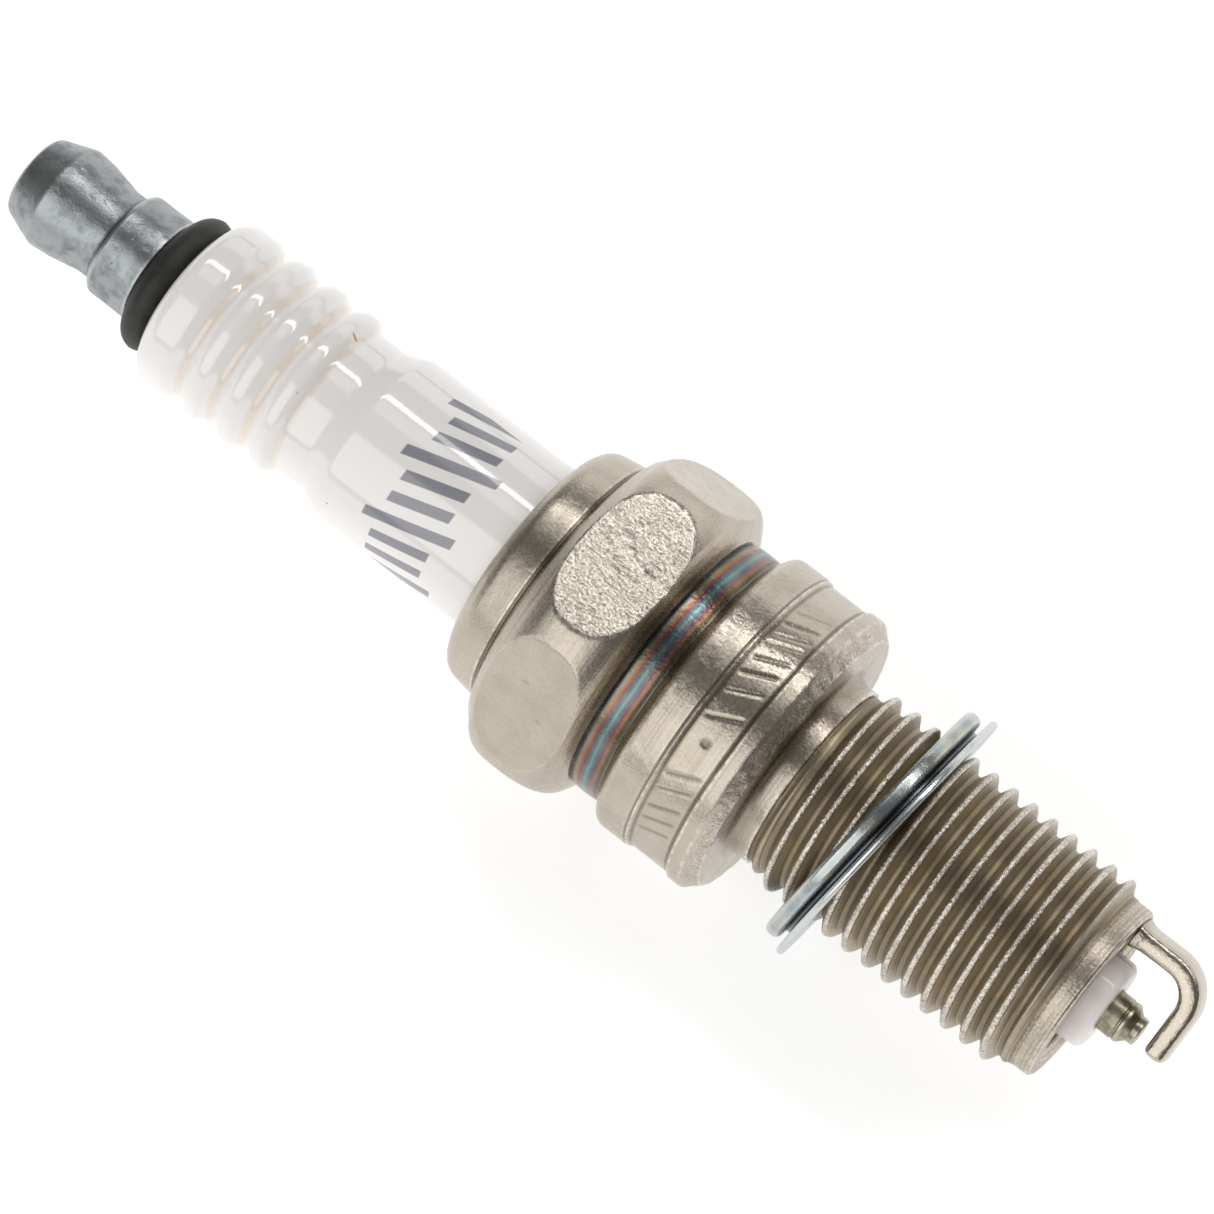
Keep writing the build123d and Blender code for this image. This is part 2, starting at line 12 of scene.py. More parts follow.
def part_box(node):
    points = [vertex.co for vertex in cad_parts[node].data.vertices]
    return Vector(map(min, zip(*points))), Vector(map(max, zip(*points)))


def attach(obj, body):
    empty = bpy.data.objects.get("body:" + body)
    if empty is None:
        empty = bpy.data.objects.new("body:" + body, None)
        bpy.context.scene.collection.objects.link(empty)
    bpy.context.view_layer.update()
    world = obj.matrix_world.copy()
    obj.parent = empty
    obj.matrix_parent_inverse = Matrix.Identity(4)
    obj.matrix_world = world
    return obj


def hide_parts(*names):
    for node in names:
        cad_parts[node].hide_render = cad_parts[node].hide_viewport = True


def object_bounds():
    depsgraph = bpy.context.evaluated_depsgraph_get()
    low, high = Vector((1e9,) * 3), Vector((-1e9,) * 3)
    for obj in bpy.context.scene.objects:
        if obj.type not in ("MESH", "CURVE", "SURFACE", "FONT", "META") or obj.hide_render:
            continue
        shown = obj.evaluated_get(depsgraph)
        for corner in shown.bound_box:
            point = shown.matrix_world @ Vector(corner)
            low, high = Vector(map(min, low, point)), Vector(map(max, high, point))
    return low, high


bl_info = {
    "name": "Spark Plug Finisher",
    "version": (1, 0, 0),
    "blender": (4, 5, 0),
    "location": "View3D > Sidebar > Plug",
    "description": "Builds the visible surfaces and finishes of a spark plug round its packed model",
    "category": "Add Mesh",
}

MM = 0.001
EDGE_SPREAD = 0.12 * MM    # how far wear reaches from an edge, and grime with painted shade from a corner
PLUG = "plug"
TERMINAL = "terminal"
GASKET = "gasket"

TINT_LENGTH = 2.6                 # millimetres of shell that the heat has coloured
OXIDE_AND_SHADE_COLOURS = (                 # across the heated band, from the hexagon towards the seat
    # painted shade in the groove at the hexagon's foot
    (0.0, (0.03, 0.028, 0.03)),
    (0.05, (0.06, 0.08, 0.1)),
    (0.11, (0.21, 0.2, 0.17)),
    (0.17, (0.27, 0.135, 0.05)),
    (0.24, (0.14, 0.045, 0.06)),
    (0.31, (0.06, 0.12, 0.18)),
    (0.37, (0.12, 0.27, 0.2)),
    (0.43, (0.08, 0.1, 0.15)),
    (0.5, (0.14, 0.05, 0.08)),
    (0.56, (0.22, 0.105, 0.04)),
    (0.62, (0.075, 0.055, 0.035)),
    (0.67, (0.18, 0.19, 0.15)),
    # painted shade in the groove where the band meets the collar
    (0.71, (0.05, 0.035, 0.025)),
    (0.76, (0.42, 0.3, 0.14)),
    (1.0, (0.46, 0.4, 0.31)),
)
NUT_COLUMNS = 224                 # columns of each turned piece's grid, round the axis
RING_COLUMNS = 192
INSULATOR_COLUMNS = 208
HEX_COLUMNS = 504
COLLAR_COLUMNS = 504
PIN_COLUMNS = 160
GASKET_COLUMNS = 320
THREAD_COLUMNS = 288
THREAD_ROWS = 20                  # rows of the grid in one turn
LAND_START = 17.85                # along X in millimetres, from where the thread has run out
STRAP_COLUMNS = 96
LATTICE = 97                      # random heights along each side of the noise's lattice
STRAP_DOME = 0.34 * MM            # how far the strap's end is rounded
OVAL_POWER = 2.5                  # 2 would make the hexagon's flats plain ellipses
HAMMER_DEPTH = 0.03 * MM
RIPPLE_DEPTH = 0.02 * MM
PRICK_DEPTH = 0.05 * MM
NUT_DENTS = 0.02 * MM
PRICK_MARKS = (                   # flat, place across it, place along X and reach, in millimetres
    (0, -0.4, -10.3, 0.5),
    (1, 0.3, -10.6, 0.25),
    (1, -1.4, -12.0, 0.2),
    (5, 0.4, -11.6, 0.25),
    (3, 0.5, -11.2, 0.3),
    (4, -0.8, -10.9, 0.25),
)
GLAZE_FLECK = (-30.8, -30.0, 0.14)      # place along X, bearing and size of one clear rust fleck
TICK_MIDDLE = -2.88 * MM          # middle of the stamped strokes along X
TICK_LENGTH = 1.5 * MM
TICK_SLANT = 0.75 * MM            # how far a stroke leans round the collar over its length
DIMPLE_BEARING = 30.5
TICKS = (                         # bearing in degrees and strength of each stroke
    (-32.5, 0.5), (-24.5, 0.6), (-18.5, 0.7), (-14.0, 0.8), (-6.5, 0.9), (0.5, 1.0), (8.5, 1.0), (19.5, 0.9),
    (45.5, 1.0), (52.5, 0.95), (61.5, 0.9), (68.5, 0.8), (75.5, 0.7),
)
VIEW_DIRECTION = Vector((0.19, -0.295, 0.936))
LIGHT_MIDDLE = -12.0 * MM
FLOOR_REACH = 1.5
FLOOR_GLOW = 0.72
ROOM_TONE = (1.0, 0.985, 0.97)
ROOM_LIGHT = 0.16
LIGHT_PANELS = (                  # name, bearing, lean along X, distance, width, length and brightness
    ("window", 54.0, -4.0, 0.42, 0.46, 0.5, 1.55),
    ("strip", -31.0, 0.0, 0.42, 0.045, 0.7, 7.0),
    ("far_wall", -74.0, 0.0, 0.5, 0.22, 0.8, 1.1),
    ("overhead", -16.0, -11.0, 0.45, 0.12, 0.35, 0.9),
)

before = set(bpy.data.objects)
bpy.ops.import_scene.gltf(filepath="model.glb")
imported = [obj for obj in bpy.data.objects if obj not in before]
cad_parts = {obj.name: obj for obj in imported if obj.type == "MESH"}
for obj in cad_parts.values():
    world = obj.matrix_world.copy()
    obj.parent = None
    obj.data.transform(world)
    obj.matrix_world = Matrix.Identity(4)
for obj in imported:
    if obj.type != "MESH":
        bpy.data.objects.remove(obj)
CAD_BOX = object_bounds()
SHELL_LOW, SHELL_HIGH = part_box("shell")
INSULATOR_LOW, INSULATOR_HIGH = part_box("insulator")
NUT_LOW, NUT_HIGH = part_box("terminal_nut")
RING_LOW, RING_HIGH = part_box("terminal_o_ring")
ELECTRODE_LOW, ELECTRODE_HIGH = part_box("centre_electrode")
SHELL_TINT_START = SHELL_LOW[0] + 9.05 * MM


# ---- Properties ---------------------------------------------------------------------------------

def length(title, millimetres, words):
    size = millimetres * MM
    return bpy.props.FloatProperty(name=title, description=words, default=size, unit="LENGTH", precision=6)


def number(title, value, words):
    return bpy.props.FloatProperty(name=title, description=words, default=value)


def angle(title, degrees, words):
    turn = float(np.radians(degrees))
    return bpy.props.FloatProperty(name=title, description=words, default=turn, subtype="ANGLE")


def count(title, value, words):
    return bpy.props.IntProperty(name=title, description=words, default=value, min=1)


def colour(title, red, green, blue, words):
    shade = (red, green, blue, 1.0)
    settings = {"default": shade, "size": 4, "subtype": "COLOR"}
    return bpy.props.FloatVectorProperty(name=title, description=words, **settings)


class PLUG_PG_terminal(bpy.types.PropertyGroup):
    barrel: length("Barrel diameter", 6.15, "Straight part that the rubber ring bears on")
    barrel_length: length("Barrel length", 2.55, "Length of the straight part")
    neck: length("Neck diameter", 5.12, "Groove that a plug cap snaps into")
    head: length("Head diameter", 6.08, "Widest part of the bulged head")
    tip: length("Tip diameter", 4.6, "Flat at the end of the cone")
    cone: length("Cone length", 2.0, "Tip to the widest part of the head")
    hole: length("Hole diameter", 4.02, "Hole that the stud screws into")
    hole_depth: length("Hole depth", 5.7, "Depth of the hole from the barrel's face")


class PLUG_PG_insulator(bpy.types.PropertyGroup):
    barrel: length("Barrel diameter", 10.1, "Plain glazed barrel next to the crimp")
    ribs: count("Ribs", 4, "Number of rounded ribs")
    first_rib: length("First rib", 1.85, "From the top face to the middle of the first rib")
    rib_pitch: length("Rib pitch", 2.2, "Distance between ribs")
    rib: length("Rib diameter", 9.96, "Diameter over the ribs")
    groove: length("Groove diameter", 9.02, "Diameter at the bottom of the grooves between ribs")
    long_groove: length("Long groove diameter", 8.94, "Diameter of the long groove below the ribs")
    long_groove_length: length("Long groove length", 3.3, "Length of the long groove")
    recess: length("Recess diameter", 5.0, "Recess in the top that takes the stud's flange")
    recess_depth: length("Recess depth", 0.8, "Depth of the recess")
    leg: length("Leg diameter", 6.2, "Leg inside the shell, at its root")
    nose: length("Nose diameter", 5.06, "End of the nose")
    bore: length("Bore diameter", 2.44, "Bore for the centre electrode")
    chamber: length("Chamber diameter", 3.6, "Chamber for the stud and the glass")


class PLUG_PG_mark(bpy.types.PropertyGroup):
    middle: length("Middle", -22.3, "Where along the axis the printed bars are centred")
    bearing: angle("Bearing", 25.0, "Where round the barrel the row of bars is centred")
    span: angle("Span", 136.0, "How far round the barrel the row runs")
    spacing: length("Spacing", 1.3, "From one bar to the next")
    tall: length("Tall bar", 5.0, "Length of every third bar along the axis")
    short: length("Short bar", 3.4, "Length of the other bars")
    slant: number("Slant", 0.3, "How far a bar leans round the barrel per unit of length")


class PLUG_PG_shell(bpy.types.PropertyGroup):
    across_flats: length("Across flats", 17.4, "Hexagon's size")
    corners: length("Across corners", 19.38, "Hexagon's turned corners")
    hexagon: length("Hexagon length", 6.45, "Length of the hexagon")
    crimp: length("Crimp diameter", 14.6, "Rolled ring that closes the shell")
    crimp_height: length("Crimp height", 2.6, "Height of the rolled ring")
    band: length("Band diameter", 15.26, "Thin wall that is shrunk by heat")
    collar: length("Collar diameter", 16.86, "Diameter over the collar's ridges")
    collar_length: length("Collar length", 6.6, "Length from the seat to the band")
    waist_depth: length("Waist depth", 0.18, "Depth of the stamped waist under the ridges")
    seat: length("Seat diameter", 15.5, "Outer edge of the flat seat")
    neck: length("Neck diameter", 10.74, "Plain neck under the seat")
    bore: length("Bore diameter", 12.4, "Wide bore that holds the insulator")
    stamp_depth: length("Stamp depth", 0.07, "Depth of the stamped marks")


class PLUG_PG_thread(bpy.types.PropertyGroup):
    major: length("Major diameter", 11.78, "Diameter over the crests")
    core: length("Root diameter", 10.42, "Diameter at the root")
    pitch: length("Pitch", 1.25, "Advance of one turn")
    start: length("Start", 1.2, "Seat to the first turn")
    land: length("Land diameter", 10.26, "Plain land at the firing end")
    land_length: length("Land length", 1.1, "Length of the plain land")
    bore: length("Firing bore", 7.6, "Bore at the firing end")


class PLUG_PG_electrodes(bpy.types.PropertyGroup):
    pin: length("Pin diameter", 2.34, "Centre electrode")
    tip: length("Tip diameter", 1.57, "Fine tip of the centre electrode")
    tip_length: length("Tip length", 0.4, "Straight length of the tip")
    cone: length("Cone length", 0.42, "Cone between the pin and the tip")
    gap: length("Spark gap", 0.6, "Tip to strap")
    thickness: length("Strap thickness", 1.26, "Thickness of the strap")
    width: length("Strap width", 2.5, "Width of the strap")
    offset: length("Strap offset", 4.02, "Axis to the middle of the strap's leg")
    bend: length("Strap bend", 1.9, "Bend radius at the middle of the strap")
    overhang: length("Strap overhang", 0.5, "How far the strap passes the axis")
    direction: angle("Strap direction", -60.0, "Where the strap's leg stands round the axis")


class PLUG_PG_gasket(bpy.types.PropertyGroup):
    hole: length("Hole diameter", 12.5, "Clears the thread")
    roll: length("Roll diameter", 15.3, "Thick rolled rim towards the collar")
    rim: length("Rim diameter", 16.2, "Thin wide rim towards the firing end")
    roll_thickness: length("Roll thickness", 0.9, "Thickness of the rolled rim")
    rim_thickness: length("Rim thickness", 0.42, "Thickness of the thin rim")
    slot: length("Slot", 0.3, "Dark gap between the two rims")
    place: length("Place", 5.42, "Where the loose ring lies along the thread")
    lean_z: number("Lean over Z", 0.139, "Rise of the ring's plane along X per unit of Z")
    lean_y: number("Lean over Y", 0.061, "Rise of the ring's plane along X per unit of Y")


class PLUG_PG_finish(bpy.types.PropertyGroup):
    nickel: colour("Nickel plate", 0.48, 0.43, 0.36, "Warm satin nickel")
    nickel_warm: colour("Stained nickel", 0.36, 0.305, 0.23, "Warmer clouds in the plate")
    # Also the painted highlight lines beside the thread's roots.
    nickel_gold: colour("Golden nickel", 0.5, 0.42, 0.27, "Yellow tint on flanks and passivated zinc")
    # Also the colour of painted glints and highlights: the hammered top flat, its rim, the thread's crests and
    # the strap's specks.
    nickel_rubbed_and_glint: colour("Rubbed nickel", 0.8, 0.75, 0.66, "Where edges are rubbed bright")
    flank: colour("Flank", 0.38, 0.33, 0.26, "Brown-grey flanks of the thread")
    rust: colour("Rust", 0.62, 0.22, 0.06, "Tiny rust specks")
    # Brown grime that also serves as painted shade in grooves, roots and pits.
    grime_and_shade: colour("Grime", 0.13, 0.1, 0.065, "Brown film in grooves and roots")
    zinc: colour("Zinc plate", 0.33, 0.35, 0.355, "Dull bluish zinc of the terminal nut")
    # Also painted shade in the nut's grooves.
    zinc_dark: colour("Stained zinc", 0.12, 0.135, 0.15, "Dark mottling of the zinc")
    zinc_pale: colour("Rubbed zinc", 0.55, 0.57, 0.57, "Pale rubbed edges of the zinc")
    gasket: colour("Gasket zinc", 0.4, 0.43, 0.41, "Bright zinc of the crush gasket")
    gasket_blue: colour("Blue zinc", 0.19, 0.24, 0.3, "Bluish clouds of the gasket's zinc")
    gasket_bright: colour("Rubbed gasket", 0.7, 0.73, 0.74, "Scuffed rims of the gasket")
    # Painted shade for the slot between the rims.
    gasket_slot_shade: colour("Gasket slot", 0.045, 0.05, 0.075, "Dark film in the gasket's slot")
    rubber: colour("Rubber", 0.013, 0.013, 0.011, "Black rubber ring")
    rubber_bloom: colour("Rubber bloom", 0.035, 0.036, 0.031, "Faint pale film on the rubber")
    glaze: colour("Glaze", 0.9, 0.875, 0.855, "Warm white glaze")
    glaze_warm: colour("Warm glaze", 0.89, 0.84, 0.795, "Slightly warmer clouds in the glaze")
    # Also painted shade in the grooves between the ribs.
    cream: colour("Cream tint", 0.78, 0.62, 0.47, "Tint where glaze gathers in the grooves")
    nose: colour("Bare ceramic", 0.95, 0.88, 0.84, "Unglazed pinkish nose")
    print_ink: colour("Printed mark", 0.25, 0.25, 0.29, "Grey ink under the glaze")
    electrode: colour("Electrode", 0.2, 0.19, 0.13, "Dark greenish nickel alloy")
    electrode_pale: colour("Pale electrode", 0.52, 0.49, 0.38, "Rubbed and turned places of the electrode")
    strap: colour("Strap", 0.5, 0.445, 0.365, "Satin nickel strap")


class PLUG_PG_stage(bpy.types.PropertyGroup):
    floor: colour("Floor", 0.8, 0.8, 0.8, "Pale floor")
    distance: length("Camera distance", 316.0, "Camera to the middle of the view")
    field: length("Field of view", 61.65, "Width of what the camera sees at that distance")
    middle: length("Middle of the view", -12.54, "Where along the axis the camera looks")
    side_step: length("Side step", 0.47, "How far beside the axis the camera looks")
    roll: angle("Roll", 37.82, "How far the plug's axis runs down from the picture's right")


# ---- Grids and profiles -------------------------------------------------------------------------

def rounded_profile(corners, step):
    """Points along a chain of (x, radius, rounding) corners: straight runs joined by arcs tangent to both.

    An arc's centre lies on the corner's bisector, rounding / sin(half the corner) away. Runs and arcs are
    cut into pieces no longer than step.
    """
    places = np.array([[x, radius] for x, radius, rounding in corners])
    lines = [places[:1]]
    last = places[0]
    roundings = [rounding for x, radius, rounding in corners]
    for before, here, after, rounding in zip(places[:-2], places[1:-1], places[2:], roundings[1:-1]):
        back = (before - here) / np.linalg.norm(before - here)
        on = (after - here) / np.linalg.norm(after - here)
        half = np.arccos(np.clip(back @ on, -1, 1)) / 2
        room = 0.49 * min(np.linalg.norm(before - here), np.linalg.norm(after - here))
        cut = min(rounding / max(np.tan(half), 1e-6), room)
        radius = cut * np.tan(half)
        start = here + back * cut
        lines.append(run_between(last, start, step))
        if radius > 1e-9:
            centre = here + (back + on) / np.linalg.norm(back + on) * radius / np.sin(half)
            first = np.arctan2(*(start - centre)[::-1])
            turn = np.arctan2(*(here + on * cut - centre)[::-1]) - first
            turn = (turn + np.pi) % (2 * np.pi) - np.pi
            pieces = max(3, int(np.ceil(abs(turn) * radius / step)))
            bearing = first + turn * np.arange(1, pieces + 1) / pieces
            lines.append(centre + radius * np.stack([np.cos(bearing), np.sin(bearing)], 1))
        last = here + on * cut
    lines.append(run_between(last, places[-1], step))
    return np.concatenate(lines)


def run_between(start, end, step):
    """Points after start up to end, evenly spaced and no further apart than step."""
    pieces = int(np.ceil(np.linalg.norm(end - start) / step - 1e-6))
    if pieces < 1:
        return np.zeros((0, 2))
    return start + (end - start) * (np.arange(1, pieces + 1) / pieces)[:, None]


def bent(profile, spread):
    """How sharply a profile turns: above 0 on outer edges and below 0 in grooves, spread over a length."""
    leg = np.diff(profile, axis=0)
    size = np.maximum(np.linalg.norm(leg, axis=1), 1e-9)
    heading = np.unwrap(np.arctan2(leg[:, 1], leg[:, 0]))
    turn = np.zeros(len(profile))
    turn[1:-1] = -np.diff(heading)
    place = np.concatenate([[0], np.cumsum(size)])
    near = np.exp(-(((place[:, None] - place[None, :]) / spread) ** 2))
    return near @ turn


def round_the_axis(x, radius, bearing):
    """Points at a distance radius from the X axis, at a bearing from +Z towards -Y."""
    x, radius, bearing = np.broadcast_arrays(x, radius, bearing)
    return np.stack([x, -radius * np.sin(bearing), radius * np.cos(bearing)], -1)


def bearings(columns):
    return np.arange(columns) * (2 * np.pi / columns)


def grid_faces(rows, columns, close_columns=True, start=0):
    """Quads between neighbouring points of a grid, joined from its last column to its first if closed."""
    row = np.arange(rows - 1)[:, None]
    column = np.arange(columns if close_columns else columns - 1)[None, :]
    below, beside = row + 1, (column + 1) % columns
    corners = [row * columns + column, row * columns + beside]
    corners += [below * columns + beside, below * columns + column]
    return np.stack(np.broadcast_arrays(*corners), -1).reshape(-1, 4) + start


def welded(points, faces, values):
    """Joins points that coincide, turns quads that lost a side into triangles, and drops the rest."""
    keys = np.round(points / (0.0002 * MM)).astype(np.int64)
    unused, first, index = np.unique(keys, axis=0, return_index=True, return_inverse=True)
    faces = index.reshape(-1)[faces]
    same = faces == np.roll(faces, -1, axis=1)
    quads = faces[same.sum(1) == 0]
    single = same.sum(1) == 1
    keep = ~same[single]
    triangles = faces[single][keep].reshape(-1, 3)
    return points[first], quads, triangles, {name: value[first] for name, value in values.items()}


def volume_of(points, triangles):
    a, b, c = points[triangles[:, 0]], points[triangles[:, 1]], points[triangles[:, 2]]
    return float(np.einsum("ij,ij->i", a, np.cross(b, c)).sum() / 6)


def skin(name, points, faces, material, body, slot, stands_for=(), **values):
    """A smooth closed piece from points and quads, facing outwards, with values per point for its material."""
    points = points.reshape(-1, 3)
    values = {key: np.broadcast_to(value, value.shape).reshape(-1) for key, value in values.items()}
    points, quads, triangles, values = welded(points, faces, values)
    halves = np.concatenate([quads[:, [0, 1, 2]], quads[:, [0, 2, 3]], triangles])
    if volume_of(points, halves) < 0:
        quads, triangles = quads[:, ::-1], triangles[:, ::-1]
    mesh = bpy.data.meshes.new(name)
    mesh.from_pydata(points.tolist(), [], quads.tolist() + triangles.tolist())
    mesh.polygons.foreach_set("use_smooth", np.ones(len(mesh.polygons), bool))
    for key, value in values.items():
        mesh.attributes.new(key, "FLOAT", "POINT").data.foreach_set("value", value.astype(np.float32))
    mesh.materials.append(material)
    mesh.validate()
    piece = bpy.data.objects.new(name, mesh)
    bpy.context.scene.collection.objects.link(piece)
    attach(piece, body)
    if stands_for:
        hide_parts(*stands_for)
    return piece


def soft_noise(u, v, seed, around=0):
    """Smooth random hills from -1 to 1: random heights on a lattice of unit cells, eased between them.

    Where around is given, v repeats after that many cells, so that a pattern closes round the axis.
    """
    heights = np.random.default_rng(seed).uniform(-1, 1, (LATTICE, around or LATTICE))
    u, v = np.broadcast_arrays(u, v)
    u0, v0 = np.floor(u).astype(int), np.floor(v).astype(int)
    fu, fv = u - u0, v - v0
    fu, fv = fu * fu * (3 - 2 * fu), fv * fv * (3 - 2 * fv)
    wide = heights.shape[1]
    u1, v1 = (u0 + 1) % LATTICE, (v0 + 1) % wide
    u0, v0 = u0 % LATTICE, v0 % wide
    a, b = heights[u0, v0], heights[u0, v1]
    c, d = heights[u1, v0], heights[u1, v1]
    return (a * (1 - fv) + b * fv) * (1 - fu) + (c * (1 - fv) + d * fv) * fu


def ease(value, low, high):
    """0 below low, 1 above high, and an S-curve between."""
    t = np.clip((value - low) / (high - low), 0, 1)
    return t * t * (3 - 2 * t)


def soft_min(a, b, blend):
    """The lower of two surfaces, rounded over a width where they cross."""
    h = np.clip(0.5 + 0.5 * (b - a) / blend, 0, 1)
    return b * (1 - h) + a * h - blend * h * (1 - h), 4 * h * (1 - h)


def edges_and_grooves(profile, grid):
    """How exposed and how sheltered each point of a turned grid is, from 0 to 1, by its profile's turns."""
    turn = bent(profile, EDGE_SPREAD)[:, None] + 0 * grid
    return np.clip(turn, 0, 1), np.clip(-turn, 0, 1)


def noise_cells(x, bearing, cell, girth):
    """Noise coordinates along X and round a girth, in cells of one size with a whole number round."""
    columns = int(girth / cell)
    return x / cell + 300, bearing * columns / (2 * np.pi), columns


def chained(*runs):
    """One closed profile from runs of (corners, step), each of which starts where the one before ends."""
    parts = [rounded_profile(corners, step) for corners, step in runs]
    return np.concatenate([parts[0]] + [part[1:] for part in parts[1:]])


def lathe(name, profile, columns, material, body, slot, stands_for=(), wobble=None, lean=None):
    """A turned piece: a closed profile carried round the X axis, then leant over by a matrix, if given."""
    bearing = bearings(columns)
    x = profile[:, :1] + 0 * bearing
    radius = profile[:, 1:] + 0 * bearing
    if wobble is not None:
        radius = radius + wobble(x, radius, bearing[None, :]) * (radius > 1e-7)
    faces = grid_faces(len(profile), columns)
    edge, groove = edges_and_grooves(profile, x)
    points = round_the_axis(x, radius, bearing)
    if lean is not None:
        points = points @ np.array(lean.to_3x3()).T + np.array(lean.translation)
    return skin(name, points, faces, material, body, slot, stands_for, edge=edge, groove=groove)


# ---- Shader maths -------------------------------------------------------------------------------

class Signal:
    """A shader socket in an expression: each operator adds its Math node."""

    def __init__(self, finish, socket):
        self.finish = finish
        self.socket = socket

    def math(self, operation, *others):
        return self.finish.node("ShaderNodeMath", {"operation": operation}, self, *others)

    def __add__(self, other):
        return self.math("ADD", other)

    def __sub__(self, other):
        return self.math("SUBTRACT", other)

    def __rsub__(self, other):
        return self.finish.node("ShaderNodeMath", {"operation": "SUBTRACT"}, other, self)

    def __mul__(self, other):
        return self.math("MULTIPLY", other)

    def __truediv__(self, other):
        return self.math("DIVIDE", other)

    def __pow__(self, other):
        return self.math("POWER", other)

    __radd__ = __add__
    __rmul__ = __mul__

    def above(self, low, high):
        """0 below low and 1 above high, smoothly between."""
        settings = {"interpolation_type": "SMOOTHSTEP"}
        return self.finish.node("ShaderNodeMapRange", settings, self, low, high, 0.0, 1.0)

    def between(self, low, high, soft):
        """1 between low and high, fading over soft at both ends."""
        return self.above(low - soft, low + soft) * (1 - self.above(high - soft, high + soft))


class Finish:
    """A procedural material round one Principled shader."""

    def __init__(self, name, **sockets):
        self.material = bpy.data.materials.new(name)
        self.material.use_nodes = True
        self.tree = self.material.node_tree
        self.shader = next(n for n in self.tree.nodes if n.type == "BSDF_PRINCIPLED")
        for socket, value in sockets.items():
            self.shader.inputs[socket.replace("_", " ")].default_value = value
        self.place = self.node("ShaderNodeTexCoord", {}, output="Object")
        self.parts = None

    def node(self, kind, settings, *values, output=0, **named):
        """Adds a node: its settings first, then its sockets' values or links in order or by name."""
        made = self.tree.nodes.new(kind)
        for key, value in settings.items():
            setattr(made, key, value)
        for key, value in [*enumerate(values), *((k.replace("_", " "), v) for k, v in named.items())]:
            if isinstance(value, Signal):
                self.tree.links.new(value.socket, made.inputs[key])
            else:
                made.inputs[key].default_value = value
        return Signal(self, made.outputs[output])

    def axes(self):
        """The X, Y and Z of a point, in metres."""
        if self.parts is None:
            split = self.node("ShaderNodeSeparateXYZ", {}, self.place).socket.node
            self.parts = [Signal(self, socket) for socket in split.outputs]
        return self.parts

    def along(self):
        return self.axes()[0] / MM

    def bearing(self):
        """Angle round the axis in radians, from +Z towards -Y."""
        x, y, z = self.axes()
        return (y * -1).math("ARCTAN2", z)

    def value(self, name):
        return self.node("ShaderNodeAttribute", {"attribute_name": name}, output="Fac")

    def noise(self, grain, detail=3.0, stretch=(1, 1, 1), rough=0.5):
        """Random cloud whose patches are about grain millimetres across, stretched along the axes."""
        place = self.place
        if stretch != (1, 1, 1):
            squeeze = tuple(1 / s for s in stretch)
            place = self.node("ShaderNodeMapping", {}, Vector=place, Scale=squeeze)
        scale = 1 / (grain * MM)
        return self.node("ShaderNodeTexNoise", {}, Vector=place, Scale=scale, Detail=detail, Roughness=rough)

    def lines(self, grain, detail=2.0):
        """Random rings round the axis, about grain millimetres apart."""
        settings = {"noise_dimensions": "1D"}
        return self.node("ShaderNodeTexNoise", settings, W=self.along(), Scale=1 / grain, Detail=detail)

    def flecks(self, spacing, size):
        """Sparse round spots: 1 at the middle of a spot and 0 away from it."""
        distance = self.node("ShaderNodeTexVoronoi", {}, Vector=self.place, Scale=1 / (spacing * MM))
        return 1 - distance.above(size * 0.5, size)

    def mix(self, share, first, second, blend="MIX"):
        settings = {"data_type": "RGBA", "blend_type": blend}
        made = self.tree.nodes.new("ShaderNodeMix")
        for key, value in settings.items():
            setattr(made, key, value)
        for key, value in ((0, share), (6, first), (7, second)):
            if isinstance(value, Signal):
                self.tree.links.new(value.socket, made.inputs[key])
            else:
                made.inputs[key].default_value = value if key == 0 else (*value[:3], 1.0)
        return Signal(self, made.outputs[2])

    def ramp(self, share, stops):
        """A colour that runs through stops of (place, colour)."""
        made = self.tree.nodes.new("ShaderNodeValToRGB")
        ramp = made.color_ramp
        while len(ramp.elements) < len(stops):
            ramp.elements.new(0.5)
        for element, (place, shade) in zip(ramp.elements, stops):
            element.position = place
            element.color = (*shade[:3], 1.0)
        self.tree.links.new(share.socket, made.inputs[0])
        return Signal(self, made.outputs[0])

    def bump(self, height, millimetres):
        """A normal that is raised by height times a depth in millimetres."""
        return self.node("ShaderNodeBump", {}, Height=height, Distance=millimetres * MM, Strength=1.0)

    def done(self, **sockets):
        for socket, signal in sockets.items():
            self.tree.links.new(signal.socket, self.shader.inputs[socket.replace("_", " ")])
        return self.material


# ---- Finishes -----------------------------------------------------------------------------------

def brushed_nickel(name, look, roughness):
    """The plate's shared ground: cloudy satin nickel, bright where rubbed, and darkened in its corners and
    grooves by brown grime and painted shade.
    """
    finish = Finish(name, Metallic=1.0)
    cloud = finish.noise(1.6, 4)
    fine = finish.noise(0.16, 3)
    edge = finish.value("edge")
    groove = finish.value("groove")
    tone = finish.mix(cloud.above(0.35, 0.75) * 0.35, look.nickel, look.nickel_warm)
    worn = finish.noise(0.45, 4).above(0.36, 0.62)
    # Rubbed edges are lightened; on the hexagon the edge values also carry the painted highlight round the top
    # flat.
    rubbed = (edge * 1.4 * (fine + 0.35)).above(0.2, 0.95) * worn
    tone = finish.mix(rubbed * 0.8, tone, look.nickel_rubbed_and_glint)
    # Painted shade with a brown grime tint: the profile's grooves and inner corners are darkened towards the
    # grime colour.
    film = (groove * 1.8).above(0.1, 0.9) * (cloud * 0.6 + 0.45)
    tone = finish.mix(film * 0.8, tone, look.grime_and_shade)
    rough = fine * 0.22 + cloud * 0.12 + (roughness - 0.2)
    return finish, tone, rough, fine


def rust_flecks(finish, tone, look, spacing, size, share):
    """Tiny orange-brown specks, thinned out by a broad cloud."""
    spots = finish.flecks(spacing, size) * finish.noise(2.3, 2).above(0.5, 0.62) * share
    return finish.mix(spots, tone, look.rust)


